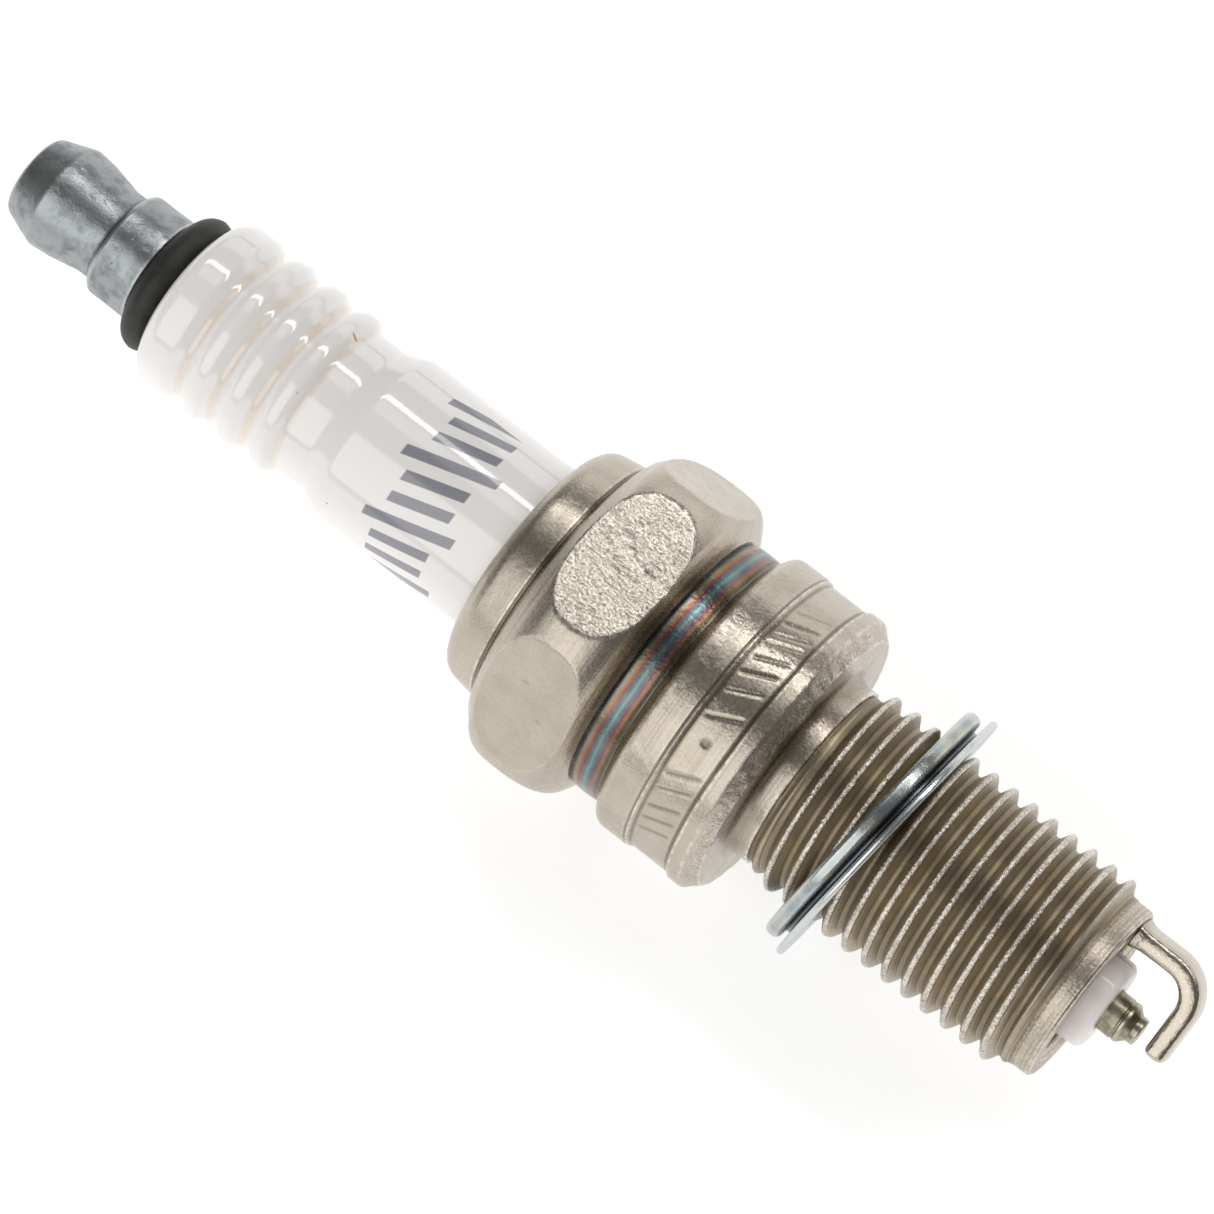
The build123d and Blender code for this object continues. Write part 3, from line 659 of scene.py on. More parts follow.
def hexagon_finish(look):
    """Satin flats with brushed scratches, one hammered flat lightened with painted glints and darkened in its
    pits with painted shade, and turning rings on the crimp.
    """
    finish, tone, rough, fine = brushed_nickel("hexagon_nickel", look, 0.3)
    flat = finish.value("flat")
    hammered = finish.value("hammered")
    rings = finish.lines(0.05, 3) * (1 - flat)
    scratches = finish.noise(0.09, 2, (9, 1.4, 1.4)) * flat
    grain = finish.noise(0.17, 5, rough=0.62)
    # Painted highlight: the whole hammered top flat is lightened, with painted glints where its grain stands
    # high.
    tone = finish.mix(hammered * (grain.above(0.46, 0.6) * 0.4 + 0.15), tone, look.nickel_rubbed_and_glint)
    # Painted shade: the hammered flat is darkened where its grain is low, in the pits of its relief.
    tone = finish.mix(hammered * (1 - grain.above(0.34, 0.42)) * 0.55, tone, look.grime_and_shade)
    tone = rust_flecks(finish, tone, look, 0.9, 0.1, 0.7)
    peel = finish.noise(0.4, 3)
    height = rings * 0.6 + scratches * 0.5 + fine * 0.5 + peel * 0.8 + hammered * grain * 1.9
    bump = finish.bump(height, 0.02)
    return finish.done(Base_Color=tone, Roughness=rough - hammered * 0.04, Normal=bump)


def collar_finish(look):
    """Turned rings, a heat-tinted band that runs through oxide colours with painted shade in the grooves at
    its ends, and darkened stamped marks.
    """
    finish, tone, rough, fine = brushed_nickel("collar_nickel", look, 0.3)
    start = SHELL_TINT_START / MM
    along = finish.along()
    shift = finish.noise(3.5, 2) * 0.1 - 0.05
    place = (along - start) / TINT_LENGTH + shift
    tint = finish.ramp(place, OXIDE_AND_SHADE_COLOURS)
    share = 1 - place.above(0.7, 1.0)
    smoky = finish.noise(0.7, 3, (1, 3, 3)).above(0.2, 0.75)
    tone = finish.mix(share * (smoky * 0.25 + 0.72), tone, tint)
    stamped = finish.value("stamped")
    # The stamped strokes are darkened towards the grime colour.
    tone = finish.mix(stamped * 0.7, tone, look.grime_and_shade)
    rim = along.between(-0.55, -0.02, 0.1)
    grain = finish.noise(0.12, 4)
    tone = finish.mix(rim * grain.above(0.5, 0.7) * 0.7, tone, look.nickel_rubbed_and_glint)
    tone = finish.mix(rim * (1 - grain.above(0.32, 0.45)) * 0.5, tone, look.grime_and_shade)
    rings = finish.lines(0.045, 3)
    dents = finish.noise(0.35, 3)
    height = rings * 0.6 + fine * 0.5 + dents * 0.8 + rim * grain * 1.8
    tone = rust_flecks(finish, tone, look, 0.8, 0.1, 0.6)
    return finish.done(Base_Color=tone, Roughness=rough - share * 0.04, Normal=finish.bump(height, 0.022))


def thread_finish(look):
    """Crests rubbed bright with painted glints, brown-grey flanks with a yellow tint, painted highlight lines
    beside the roots, and roots darkened by grime and painted shade.
    """
    finish, tone, rough, fine = brushed_nickel("thread_nickel", look, 0.32)
    ridge = finish.value("ridge")
    stain = finish.noise(1.1, 4)
    flank = finish.mix(stain.above(0.4, 0.7) * 0.7, look.flank, look.nickel_gold)
    tone = finish.mix(1 - ridge.above(0.45, 0.92), tone, flank)
    # Painted shade with a grime tint: the roots darken towards the grime colour.
    tone = finish.mix((1 - ridge.above(0.03, 0.3)) * 0.6, tone, look.grime_and_shade)
    # Painted highlight: two thin gold lines, one on each side of every root.
    tone = finish.mix(ridge.between(0.03, 0.075, 0.012) * 0.8, tone, look.nickel_gold)
    grain = finish.noise(0.14, 4)
    crest = ridge.above(0.74, 0.92)
    # Painted glints on the crests over their rubbed wear, broken up by the grain and the stain.
    crest_rub_and_glint = crest * grain.above(0.4, 0.58) * (stain.above(0.38, 0.6) * 0.6 + 0.35)
    tone = finish.mix(crest_rub_and_glint, tone, look.nickel_rubbed_and_glint)
    # Darker breaks in the crests where the grain is low.
    tone = finish.mix(crest * (1 - grain.above(0.3, 0.42)) * 0.45, tone, look.grime_and_shade)
    tone = rust_flecks(finish, tone, look, 0.7, 0.13, 0.8)
    land = finish.along().above(LAND_START - 0.1, LAND_START + 0.1)
    scored = finish.lines(0.09, 4) * 0.5 + grain * 0.3
    tone = finish.mix(land * grain.above(0.46, 0.66) * 0.35, tone, look.nickel_rubbed_and_glint)
    tone = finish.mix(land * (1 - finish.lines(0.13, 3).above(0.36, 0.5)) * 0.4, tone, look.grime_and_shade)
    bump = finish.bump(fine * 0.6 + crest * grain * 2.2 + stain * 0.3 + land * scored, 0.035)
    flat_rough = (1 - ridge.above(0.6, 0.9)) * 0.14
    return finish.done(Base_Color=tone, Roughness=rough + flat_rough, Normal=bump)


def glaze_finish(look, size, mark):
    """Glossy warm glaze, cream where it pools in the grooves and deepened there as painted shade, bare pinkish
    ceramic at the nose, and the printed bars.
    """
    finish = Finish("alumina_glaze", Roughness=0.09, IOR=1.6, Coat_Weight=0.5, Coat_Roughness=0.03)
    along = finish.along()
    cloud = finish.noise(4.0, 3)
    groove = finish.value("groove")
    tone = finish.mix(cloud.above(0.3, 0.7) * 0.3, look.glaze, look.glaze_warm)
    # Cream tint of glaze pooled in the grooves, strengthened as painted shade between the ribs.
    tone = finish.mix((groove * 1.5).above(0.05, 0.9) * (cloud * 0.6 + 0.3), tone, look.cream)
    specks = finish.flecks(1.5, 0.075) * finish.noise(3.1, 2).above(0.48, 0.62)
    tone = finish.mix(specks * 0.8, tone, look.rust)
    fleck_x, fleck_bearing, fleck_size = GLAZE_FLECK
    beside = (finish.bearing() - np.radians(fleck_bearing)) * (size.rib / MM / 2)
    reach = ((along - fleck_x) ** 2 * 0.4 + beside ** 2 * 2.2) ** 0.5 / fleck_size
    tone = finish.mix(1 - reach.above(0.7, 1.2), tone, look.rust)
    cover = finish.noise(0.1, 2).above(0.18, 0.36) * 0.18 + 0.8
    ink = printed_bars(finish, size.barrel / MM / 2, mark) * cover
    tone = finish.mix(ink, tone, look.print_ink)
    bare = along.above(-1.0, 1.0)
    chalk = finish.noise(0.3, 4)
    body = finish.mix(chalk.above(0.3, 0.75) * 0.4, look.nose, look.glaze)
    tone = finish.mix(bare, tone, body)
    rough = bare * 0.42 + 0.11 + ink * 0.1
    bump = finish.bump(cloud * 0.6 + bare * chalk * 0.5, 0.012)
    return finish.done(Base_Color=tone, Roughness=rough, Normal=bump)


def printed_bars(finish, radius, mark):
    """Slanted bars in a row round the barrel, every third one longer, within a span of the bearing."""
    along = finish.along() - mark.middle / MM
    round_it = finish.bearing() * radius
    middle = mark.bearing * radius
    slanted = (round_it - middle + along * mark.slant) / (mark.spacing / MM)
    beat = slanted.math("FRACT")
    bar = beat.between(0.28, 0.76, 0.03)
    third = (slanted / 3).math("FRACT").between(0.333, 0.667, 0.002)
    half_height = third * (mark.tall - mark.short) / MM / 2 + mark.short / MM / 2
    reach = along.math("ABSOLUTE") - half_height
    inside = 1 - reach.above(-0.05, 0.05)
    span = (round_it - middle).math("ABSOLUTE")
    return bar * inside * (1 - span.above(mark.span * radius / 2, mark.span * radius / 2 + 0.05))


def zinc_finish(look):
    """Dull bluish zinc with dark mottling, painted shade in its grooves, pale rubbed edges and small pits."""
    finish = Finish("terminal_zinc", Metallic=1.0)
    cloud = finish.noise(0.85, 5, rough=0.6)
    fine = finish.noise(0.12, 3)
    edge = finish.value("edge")
    groove = finish.value("groove")
    tone = finish.mix(cloud.above(0.44, 0.66) * 0.5, look.zinc, look.zinc_dark)
    tone = finish.mix((edge * 1.3 * (fine + 0.4)).above(0.1, 0.9) * 0.7, tone, look.zinc_pale)
    # Painted shade: the nut's grooves and inner corners are darkened towards the stained zinc colour.
    tone = finish.mix((groove * 1.6).above(0.1, 0.9) * 0.55, tone, look.zinc_dark)
    pits = finish.flecks(0.75, 0.16) * finish.noise(1.7, 2).above(0.48, 0.6)
    tone = finish.mix(pits * 0.5, tone, look.zinc_dark)
    rings = finish.lines(0.07, 2)
    bump = finish.bump(fine * 0.5 + rings * 0.35 + cloud * 0.7 - pits * 1.2, 0.028)
    return finish.done(Base_Color=tone, Roughness=cloud * 0.2 + 0.18 + fine * 0.14, Normal=bump)


def rubber_finish(look):
    """Matt black rubber with a faint bloom and a fine grain."""
    finish = Finish("ring_rubber", IOR=1.45)
    cloud = finish.noise(0.9, 3)
    grain = finish.noise(0.07, 3)
    tone = finish.mix(cloud.above(0.35, 0.75) * 0.6, look.rubber, look.rubber_bloom)
    rough = cloud * 0.2 + 0.42
    return finish.done(Base_Color=tone, Roughness=rough, Normal=finish.bump(grain, 0.01))


def gasket_finish(look):
    """Bright zinc with bluish and yellow passivation, scuffed rims and painted shade in its slot."""
    finish = Finish("gasket_zinc", Metallic=1.0)
    cloud = finish.noise(1.3, 3)
    fine = finish.noise(0.1, 3)
    edge = finish.value("edge")
    groove = finish.value("groove")
    tone = finish.mix(cloud.above(0.42, 0.66) * 0.5, look.gasket, look.gasket_blue)
    gold = finish.noise(1.9, 2).above(0.58, 0.7)
    tone = finish.mix(gold * 0.4, tone, look.nickel_gold)
    tone = finish.mix((edge * (fine + 0.5)).above(0.2, 1.0) * 0.6, tone, look.gasket_bright)
    # Painted shade: the slot and the inner corners are darkened towards a near-black blue.
    tone = finish.mix((groove * 1.5).above(0.1, 0.8) * 0.8, tone, look.gasket_slot_shade)
    rough = fine * 0.15 + cloud * 0.12 + 0.12
    bump = finish.bump(fine * 0.4 + finish.noise(0.5, 3) * 0.8, 0.012)
    return finish.done(Base_Color=tone, Roughness=rough, Normal=bump)


def electrode_finish(look):
    """Dark greenish nickel alloy, turned, with a pale tip."""
    finish = Finish("electrode_nickel", Metallic=1.0)
    rings = finish.lines(0.06, 3)
    cloud = finish.noise(0.5, 3)
    edge = finish.value("edge")
    tone = finish.mix(cloud.above(0.35, 0.7) * 0.6, look.electrode, look.electrode_pale)
    tone = finish.mix(edge.above(0.1, 0.8) * 0.7, tone, look.electrode_pale)
    bump = finish.bump(rings + cloud * 0.4, 0.012)
    return finish.done(Base_Color=tone, Roughness=cloud * 0.15 + 0.22, Normal=bump)


def strap_finish(look):
    """Satin nickel bar with drawn lines along it, painted glints and pale scuffed corners."""
    finish = Finish("strap_nickel", Metallic=1.0)
    fine = finish.noise(0.1, 4)
    cloud = finish.noise(0.6, 3)
    edge = finish.value("edge")
    weld = finish.value("weld")
    tone = finish.mix(cloud.above(0.35, 0.7) * 0.5, look.strap, look.nickel)
    # Painted glints: fine bright specks over the strap.
    tone = finish.mix(fine.above(0.55, 0.7) * 0.3, tone, look.nickel_rubbed_and_glint)
    tone = finish.mix((edge * (fine + 0.4)).above(0.2, 0.9) * 0.7, tone, look.nickel_rubbed_and_glint)
    tone = finish.mix(weld * 0.35, tone, look.grime_and_shade)
    bump = finish.bump(fine * 0.5 + cloud * 1.4 + weld * cloud * 1.5, 0.03)
    return finish.done(Base_Color=tone, Roughness=fine * 0.16 + 0.12, Normal=bump)


def inner_finish(name, first, second, metallic, roughness, grain):
    """A finish for a piece sealed inside the plug: two tones in a fine cloud with a matching bump."""
    finish = Finish(name, Metallic=metallic)
    cloud = finish.noise(grain, 4)
    tone = finish.mix(cloud.above(0.35, 0.7), first, second)
    rough = cloud * 0.15 + roughness - 0.07
    return finish.done(Base_Color=tone, Roughness=rough, Normal=finish.bump(cloud, grain * 0.05))


def floor_finish(look):
    """Pale matt floor, lifted a little by its own light so that it stays near white."""
    finish = Finish("floor_paper", Roughness=0.9, Emission_Strength=FLOOR_GLOW)
    grain = finish.noise(1.5, 3)
    tone = finish.mix(grain * 0.05, look.floor, (0.72, 0.72, 0.72))
    return finish.done(Base_Color=tone, Emission_Color=tone)


# ---- Pieces -------------------------------------------------------------------------------------

def make_nut(size, look):
    """The terminal nut: a cone tip, a bulged head, a neck and a barrel, bored from its foot."""
    tip, foot = NUT_LOW[0], NUT_HIGH[0]
    barrel, head, neck, hole = size.barrel / 2, size.head / 2, size.neck / 2, size.hole / 2
    shoulder = foot - size.barrel_length
    outside = [
        (tip, 0, 0),
        (tip, size.tip / 2, 0.4 * MM),
        (tip + size.cone, head, 0.7 * MM),
        (tip + size.cone + 1.2 * MM, head - 0.12 * MM, 1.4 * MM),
        (shoulder - 1.2 * MM, neck, 1.4 * MM),
        (shoulder - 0.3 * MM, neck, 0.12 * MM),
        (shoulder - 0.2 * MM, barrel - 0.2 * MM, 0.06 * MM),
        (shoulder, barrel - 0.01 * MM, 0.25 * MM),
        (foot, barrel - 0.01 * MM, 0.2 * MM),
        (foot, hole, 0),
    ]
    inside = [(foot, hole, 0), (foot - size.hole_depth, hole, 0), (foot - size.hole_depth - hole / 2, 0, 0)]

    def dents(x, radius, bearing):
        broad = soft_noise(x / (0.9 * MM) + 40, bearing * 14 / (2 * np.pi), 3, 14)
        small = soft_noise(x / (0.28 * MM) + 200, bearing * 44 / (2 * np.pi), 4, 44)
        depth = NUT_DENTS * (0.5 + 0.5 * broad) + NUT_DENTS * ease(small, 0.55, 0.95)
        return -depth * (radius > hole * 1.05)

    profile = chained((outside, 0.08 * MM), (inside, 0.6 * MM))
    slot, nodes = "zinc_terminal", ("terminal_nut",)
    lathe("terminal_cap", profile, NUT_COLUMNS, zinc_finish(look), TERMINAL, slot, nodes, dents)


def make_ring(size, look):
    """The squeezed rubber ring: an ellipse between the nut and the ceramic, carried round the axis."""
    hole, rim = size.hole / 2, RING_HIGH[2] - 0.02 * MM
    low, high = RING_LOW[0] + 0.01 * MM, RING_HIGH[0] - 0.01 * MM
    turn = np.linspace(0, 2 * np.pi, 61)
    middle = (low + high) / 2
    x = middle + (high - low) / 2 * np.cos(turn)
    radius = (hole + rim) / 2 + (rim - hole) / 2 * np.sin(turn)
    profile = np.stack([x, radius], 1)

    def mould_line(x, radius, bearing):
        line = np.exp(-(((x - middle) / (0.06 * MM)) ** 2)) * (radius > rim * 0.9)
        squash = 0.5 + 0.5 * soft_noise(x / MM + 60, bearing * 7 / np.pi, 8, 14)
        return 0.018 * MM * line - 0.02 * MM * squash

    slot, nodes = "black_rubber", ("terminal_o_ring",)
    lathe("rubber_ring", profile, RING_COLUMNS, rubber_finish(look), PLUG, slot, nodes, mould_line)


def make_insulator(size, look, mark):
    """The ceramic: rounded ribs, a long groove, the barrel, the body inside the shell and the nose."""
    top, nose_end = INSULATOR_LOW[0], INSULATOR_HIGH[0]
    barrel, rib, groove = size.barrel / 2, size.rib / 2, size.groove / 2
    crimp = SHELL_LOW[0]
    recess = size.recess / 2
    first = top + size.first_rib
    flat = 0.55 * MM
    outside = [(top, recess, 0), (top, rib, 1.1 * MM)]
    for number in range(size.ribs - 1):
        middle = first + (number + 0.5) * size.rib_pitch
        slope_start = middle - (size.rib_pitch - flat) / 2
        slope_end = middle + (size.rib_pitch - flat) / 2
        outside += [
            (slope_start, rib, 0.6 * MM),
            (middle - 0.15 * MM, groove, 0.5 * MM),
            (middle + 0.15 * MM, groove, 0.5 * MM),
            (slope_end, rib, 0.6 * MM),
        ]
    last = first + (size.ribs - 1) * size.rib_pitch + flat / 2
    flare = last + size.long_groove_length
    outside += [
        (last, rib, 0.6 * MM),
        (last + 0.55 * MM, size.long_groove / 2, 0.6 * MM),
        (flare - 1.0 * MM, size.long_groove / 2, 1.5 * MM),
        (flare + 0.45 * MM, barrel, 0.8 * MM),
        (crimp, barrel, 0),
    ]
    leg, bore, chamber = size.leg / 2, size.bore / 2, size.chamber / 2
    gripped, body, stem, nose_root = 4.85 * MM, 6.15 * MM, 3.95 * MM, 2.86 * MM
    shoulder_start, shoulder_end = -11.8 * MM, -11.2 * MM
    body_end, stem_start, stem_end = -4.45 * MM, -2.25 * MM, 4.3 * MM
    nose_start, bore_shown, chamber_end = 12.0 * MM, 18.0 * MM, 2.0 * MM
    within = [
        (crimp, barrel, 0),
        (crimp, gripped, 0),
        (shoulder_start, gripped, 0),
        (shoulder_end, body, 0),
        (body_end, body, 0),
        (stem_start, stem, 0),
        (stem_end, stem, 0),
        (stem_end + stem - leg, leg, 0),
        (nose_start, nose_root, 0),
    ]
    nose = [
        (nose_start, nose_root, 0),
        (nose_end, size.nose / 2, 0.45 * MM),
        (nose_end, bore, 0.1 * MM),
        (bore_shown, bore, 0),
    ]
    hollow = [
        (bore_shown, bore, 0),
        (chamber_end, bore, 0),
        (chamber_end - (chamber - bore), chamber, 0),
        (top + size.recess_depth, chamber, 0),
        (top + size.recess_depth, recess, 0),
        (top, recess, 0),
    ]

    def glaze_swell(x, radius, bearing):
        swell = 0.5 + 0.5 * soft_noise(x / (2.4 * MM) + 40, bearing * 9 / (2 * np.pi), 11, 9)
        return -0.02 * MM * swell * (radius > groove * 0.9) * (x < crimp)

    profile = chained((outside, 0.1 * MM), (within, 1.5 * MM), (nose, 0.1 * MM), (hollow, 3 * MM))
    slot, nodes = "glazed_alumina", ("insulator",)
    material = glaze_finish(look, size, mark)
    lathe("ceramic_body", profile, INSULATOR_COLUMNS, material, PLUG, slot, nodes, glaze_swell)


def hexagon_radius(size, turned_radius, bearing):
    """The turned radius limited by the six flats, and how fully a flat is what limits it."""
    sixth = np.pi / 3
    off = (bearing + sixth / 2) % sixth - sixth / 2
    flat_radius = size.across_flats / 2 / np.cos(off)
    radius, edge = soft_min(turned_radius, flat_radius + 0 * turned_radius, 0.09 * MM)
    share = ease(turned_radius - flat_radius, 0.0, 0.06 * MM)
    return radius, edge, share


def facet_bulge(start, end, flat, corner):
    """Corners of the turned profile that cuts a flat down to an oval.

    The oval is a superellipse: half its width is W * (1 - |u| ** p) ** (1 / p), u from -1 to 1 along X, and
    the profile's radius is the hypotenuse of that and the flat's distance from the axis.
    """
    u = np.linspace(-1, 1, 33)
    half_width = np.sqrt(corner**2 - flat**2) * (1 - abs(u) ** OVAL_POWER) ** (1 / OVAL_POWER)
    x = (start + end) / 2 + u * (end - start) / 2
    return [(float(a), float(b), 0) for a, b in zip(x, np.hypot(flat, half_width))]


def star_prick(across, along, at_across, at_along, reach, points=5):
    """A small punched star: a round dimple with shallow rays, from 0 outside to 1 at its middle."""
    u, v = across - at_across, along - at_along
    distance = np.hypot(u, v)
    rays = 0.5 + 0.5 * np.cos(points * np.arctan2(v, u))
    middle = np.exp(-((distance / (reach * 0.35)) ** 2))
    return middle + 0.6 * np.exp(-((distance / (reach * (0.5 + rays))) ** 2))


def make_hexagon(size, look):
    """Crimp and hexagon: a turned profile cut by six flats, one of them hammered, pricked and scuffed."""
    top = SHELL_LOW[0]
    hex_top = top + size.crimp_height
    foot = hex_top + size.hexagon
    crimp, corner, flat, bore = size.crimp / 2, size.corners / 2, size.across_flats / 2, size.bore / 2
    lip, foot_radius = 4.9 * MM, 7.69 * MM
    crimped = [
        (top, lip, 0.12 * MM),
        (top, lip + 0.02 * MM, 0.1 * MM),
        (top + 0.05 * MM, crimp - 0.35 * MM, 1.3 * MM),
        (hex_top - 0.25 * MM, crimp, 0.1 * MM),
        (hex_top - 0.1 * MM, crimp - 0.12 * MM, 0.08 * MM),
        (hex_top, crimp + 0.02 * MM, 0),
    ]
    hexed = [
        (hex_top, crimp + 0.02 * MM, 0),
        (hex_top + 0.3 * MM, flat - 0.55 * MM, 0.4 * MM),
        *facet_bulge(hex_top + 0.8 * MM, foot - 0.55 * MM, flat, corner - 0.01 * MM),
        (foot - 0.5 * MM, flat - 0.07 * MM, 0.04 * MM),
        (foot - 0.24 * MM, flat - 0.5 * MM, 0.06 * MM),
        (foot - 0.18 * MM, flat - 0.62 * MM, 0.04 * MM),
        (foot, foot_radius, 0.05 * MM),
        (foot, bore, 0),
    ]
    bored = [(foot, bore, 0), (top + 1.4 * MM, bore, 0.4 * MM), (top + 0.75 * MM, lip, 0), (top, lip, 0)]
    profile = chained((crimped, 0.12 * MM), (hexed, 0.096 * MM), (bored, 1.2 * MM))
    bearing = bearings(HEX_COLUMNS)[None, :]
    x = profile[:, :1] + 0 * bearing
    radius, edge, flat_share = hexagon_radius(size, profile[:, 1:] + 0 * bearing, bearing)
    on_hexagon = ease(x, hex_top - 0.05 * MM, hex_top + 0.2 * MM) * (radius > bore * 1.1)
    flat_share = flat_share * on_hexagon
    face = np.round(bearing / (np.pi / 3)) % 6
    hammered = flat_share * (face == 0)
    across = radius * np.sin((bearing + np.pi / 6) % (np.pi / 3) - np.pi / 6)
    u, v, columns = noise_cells(x, bearing, 0.42 * MM, 2 * np.pi * flat)
    chips = soft_noise(u, v, 21, columns) + 0.6 * soft_noise(u * 2, v * 2, 22, columns * 2)
    ripple = soft_noise(u / 4, v / 4, 23, columns // 4)
    pecks = ease(chips, 0.25, 1.1) + 0.35 * (0.5 + 0.5 * np.clip(chips, -1, 1))
    relief = -HAMMER_DEPTH * hammered * pecks
    relief = relief - RIPPLE_DEPTH * flat_share * (0.5 + 0.5 * ripple)
    for number, (which, at_across, at_along, reach) in enumerate(PRICK_MARKS):
        mark = star_prick(across, x, at_across * MM, at_along * MM, reach * MM, 4 + number % 3)
        relief = relief - PRICK_DEPTH * mark * flat_share * (face == which)
    # Rubbed rims round the flats, raised on the top flat as a painted highlight along its rim; this joins the
    # edge values that lighten the nickel.
    flat_rim_wear_and_highlight = edge * on_hexagon * (0.3 + 0.7 * (face == 0))
    worn, deep = edges_and_grooves(profile, x)
    worn = np.clip(worn * (1 - flat_share) + flat_rim_wear_and_highlight, 0, 1)
    deep = deep * (1 - flat_share)
    points = round_the_axis(x, radius + relief, bearing)
    faces = grid_faces(len(profile), HEX_COLUMNS)
    values = {"edge": worn, "groove": deep, "flat": flat_share, "hammered": hammered}
    skin("shell_hexagon", points, faces, hexagon_finish(look), PLUG, "nickel_shell", ("shell",), **values)


def stamped_ticks(size, x, bearing):
    """Short slanted strokes punched round the collar's middle, and one round dimple: 1 on them, 0 off."""
    radius = size.collar / 2
    depth = 0 * x
    half = TICK_LENGTH / 2
    slope = TICK_SLANT / TICK_LENGTH
    for degrees, strength in TICKS:
        at = radius * np.radians(degrees) - slope * (x - TICK_MIDDLE)
        off = radius * ((bearing + np.pi) % (2 * np.pi) - np.pi) - at
        past = np.maximum(abs(x - TICK_MIDDLE) - half, 0)
        depth = np.maximum(depth, strength * (1 - ease(np.hypot(off, past), 0.05 * MM, 0.15 * MM)))
    off = radius * (bearing - np.radians(DIMPLE_BEARING))
    dimple = 1 - ease(np.hypot(off, x - TICK_MIDDLE), 0.12 * MM, 0.4 * MM)
    return np.maximum(depth, dimple)


def make_collar(size, thread, look):
    """Heat-shrunk band, ridged collar with stamped marks, seat and neck, bored through."""
    start = SHELL_LOW[0] + size.crimp_height + size.hexagon
    top = -size.collar_length
    ridge, band = size.collar / 2 - 0.01 * MM, size.band / 2
    waist, groove = ridge - size.waist_depth, band - 0.14 * MM
    neck, bore, throat = size.neck / 2, size.bore / 2, 4.0 * MM
    waist_start, waist_end = -4.36 * MM, -1.5 * MM
    outside = [
        (start, bore, 0),
        (start, groove, 0),
        (start + 0.04 * MM, groove, 0.03 * MM),
        (start + 0.25 * MM, band - 0.03 * MM, 0.5 * MM),
        ((start + top) / 2, band, 1.8 * MM),
        (top - 0.3 * MM, band - 0.03 * MM, 0.4 * MM),
        (top - 0.08 * MM, groove, 0.04 * MM),
        (top, groove, 0.03 * MM),
        (top + 0.05 * MM, band + 0.05 * MM, 0.05 * MM),
        (top + 0.5 * MM, ridge, 0.55 * MM),
        (waist_start, ridge, 0.12 * MM),
        (waist_start + 0.08 * MM, ridge - 0.1 * MM, 0.05 * MM),
        (waist_start + 0.17 * MM, ridge - 0.02 * MM, 0.05 * MM),
        (waist_start + 0.41 * MM, waist, 0.12 * MM),
        (waist_end - 0.3 * MM, waist, 0.12 * MM),
        (waist_end - 0.22 * MM, waist - 0.05 * MM, 0.05 * MM),
        (waist_end, ridge, 0.1 * MM),
        (-0.75 * MM, ridge, 0.3 * MM),
        (0, size.seat / 2, 0.14 * MM),
        (0, neck, 0.6 * MM),
        (thread.start, neck, 0),
        (thread.start, throat, 0),
    ]
    bored = [(thread.start, throat, 0), (-2.2 * MM, throat, 0), (-4.4 * MM, bore, 0), (start, bore, 0)]
    profile = chained((outside, 0.114 * MM), (bored, 1.5 * MM))
    bearing = bearings(COLLAR_COLUMNS)[None, :]
    x = profile[:, :1] + 0 * bearing
    radius = profile[:, 1:] + 0 * bearing
    outer = radius > neck * 0.98
    on_waist = (radius > waist * 0.99) & (x > waist_start + 0.06 * MM) & (x < waist_end + 0.1 * MM)
    stamped = stamped_ticks(size, x, bearing) * on_waist
    u, v, columns = noise_cells(x, bearing, 0.55 * MM, 2 * np.pi * ridge)
    chips = np.clip(soft_noise(u, v, 31, columns) + 0.6 * soft_noise(u * 2, v * 2, 32, columns * 2), -1, 1)
    rim = ease(x, -0.75 * MM, -0.4 * MM) * (radius > size.seat / 2 * 0.93)
    bumps = ease(x, -6.5 * MM, -6.1 * MM) * (1 - ease(x, -5.3 * MM, -5.0 * MM)) * (radius > band)
    relief = -(0.09 * MM * rim + 0.02 * MM * bumps + 0.006 * MM) * (0.5 + 0.5 * chips) * outer
    relief = relief - size.stamp_depth * stamped
    worn, deep = edges_and_grooves(profile, x)
    points = round_the_axis(x, radius + relief, bearing)
    faces = grid_faces(len(profile), COLLAR_COLUMNS)
    values = {"edge": worn, "groove": deep, "stamped": stamped}
    skin("shell_collar", points, faces, collar_finish(look), PLUG, "nickel_shell", ("shell",), **values)


def thread_radius(size, x, bearing, end):
    """Radius of the helical ridge: flanks at 60 degrees between a rounded crest and a rounded root.

    A turn's crest lies where x / pitch - bearing / (2 pi) is whole, which makes a right-hand thread.
    """
    crest, root = size.major / 2 - 0.01 * MM, size.core / 2
    phase = (x - size.start) / size.pitch - bearing / (2 * np.pi)
    off = abs((phase + 0.5) % 1 - 0.5) * size.pitch
    flank = crest + 0.03 * MM - np.maximum(off - 0.09 * MM, 0) * np.tan(np.radians(60))
    low = -soft_min(-flank, -root + 0 * flank, 0.12 * MM)[0]
    ridge = soft_min(low, crest + 0 * low, 0.05 * MM)[0]
    foot = root * 0.5 + size.land / 4
    rise = ease(x, size.start + 0.1 * MM, size.start + 0.9 * MM)
    fade = rise * (1 - ease(x, end - 0.75 * MM, end - 0.1 * MM))
    return foot + (ridge - foot) * fade, np.clip((ridge - root) / (crest - root), 0, 1) * fade


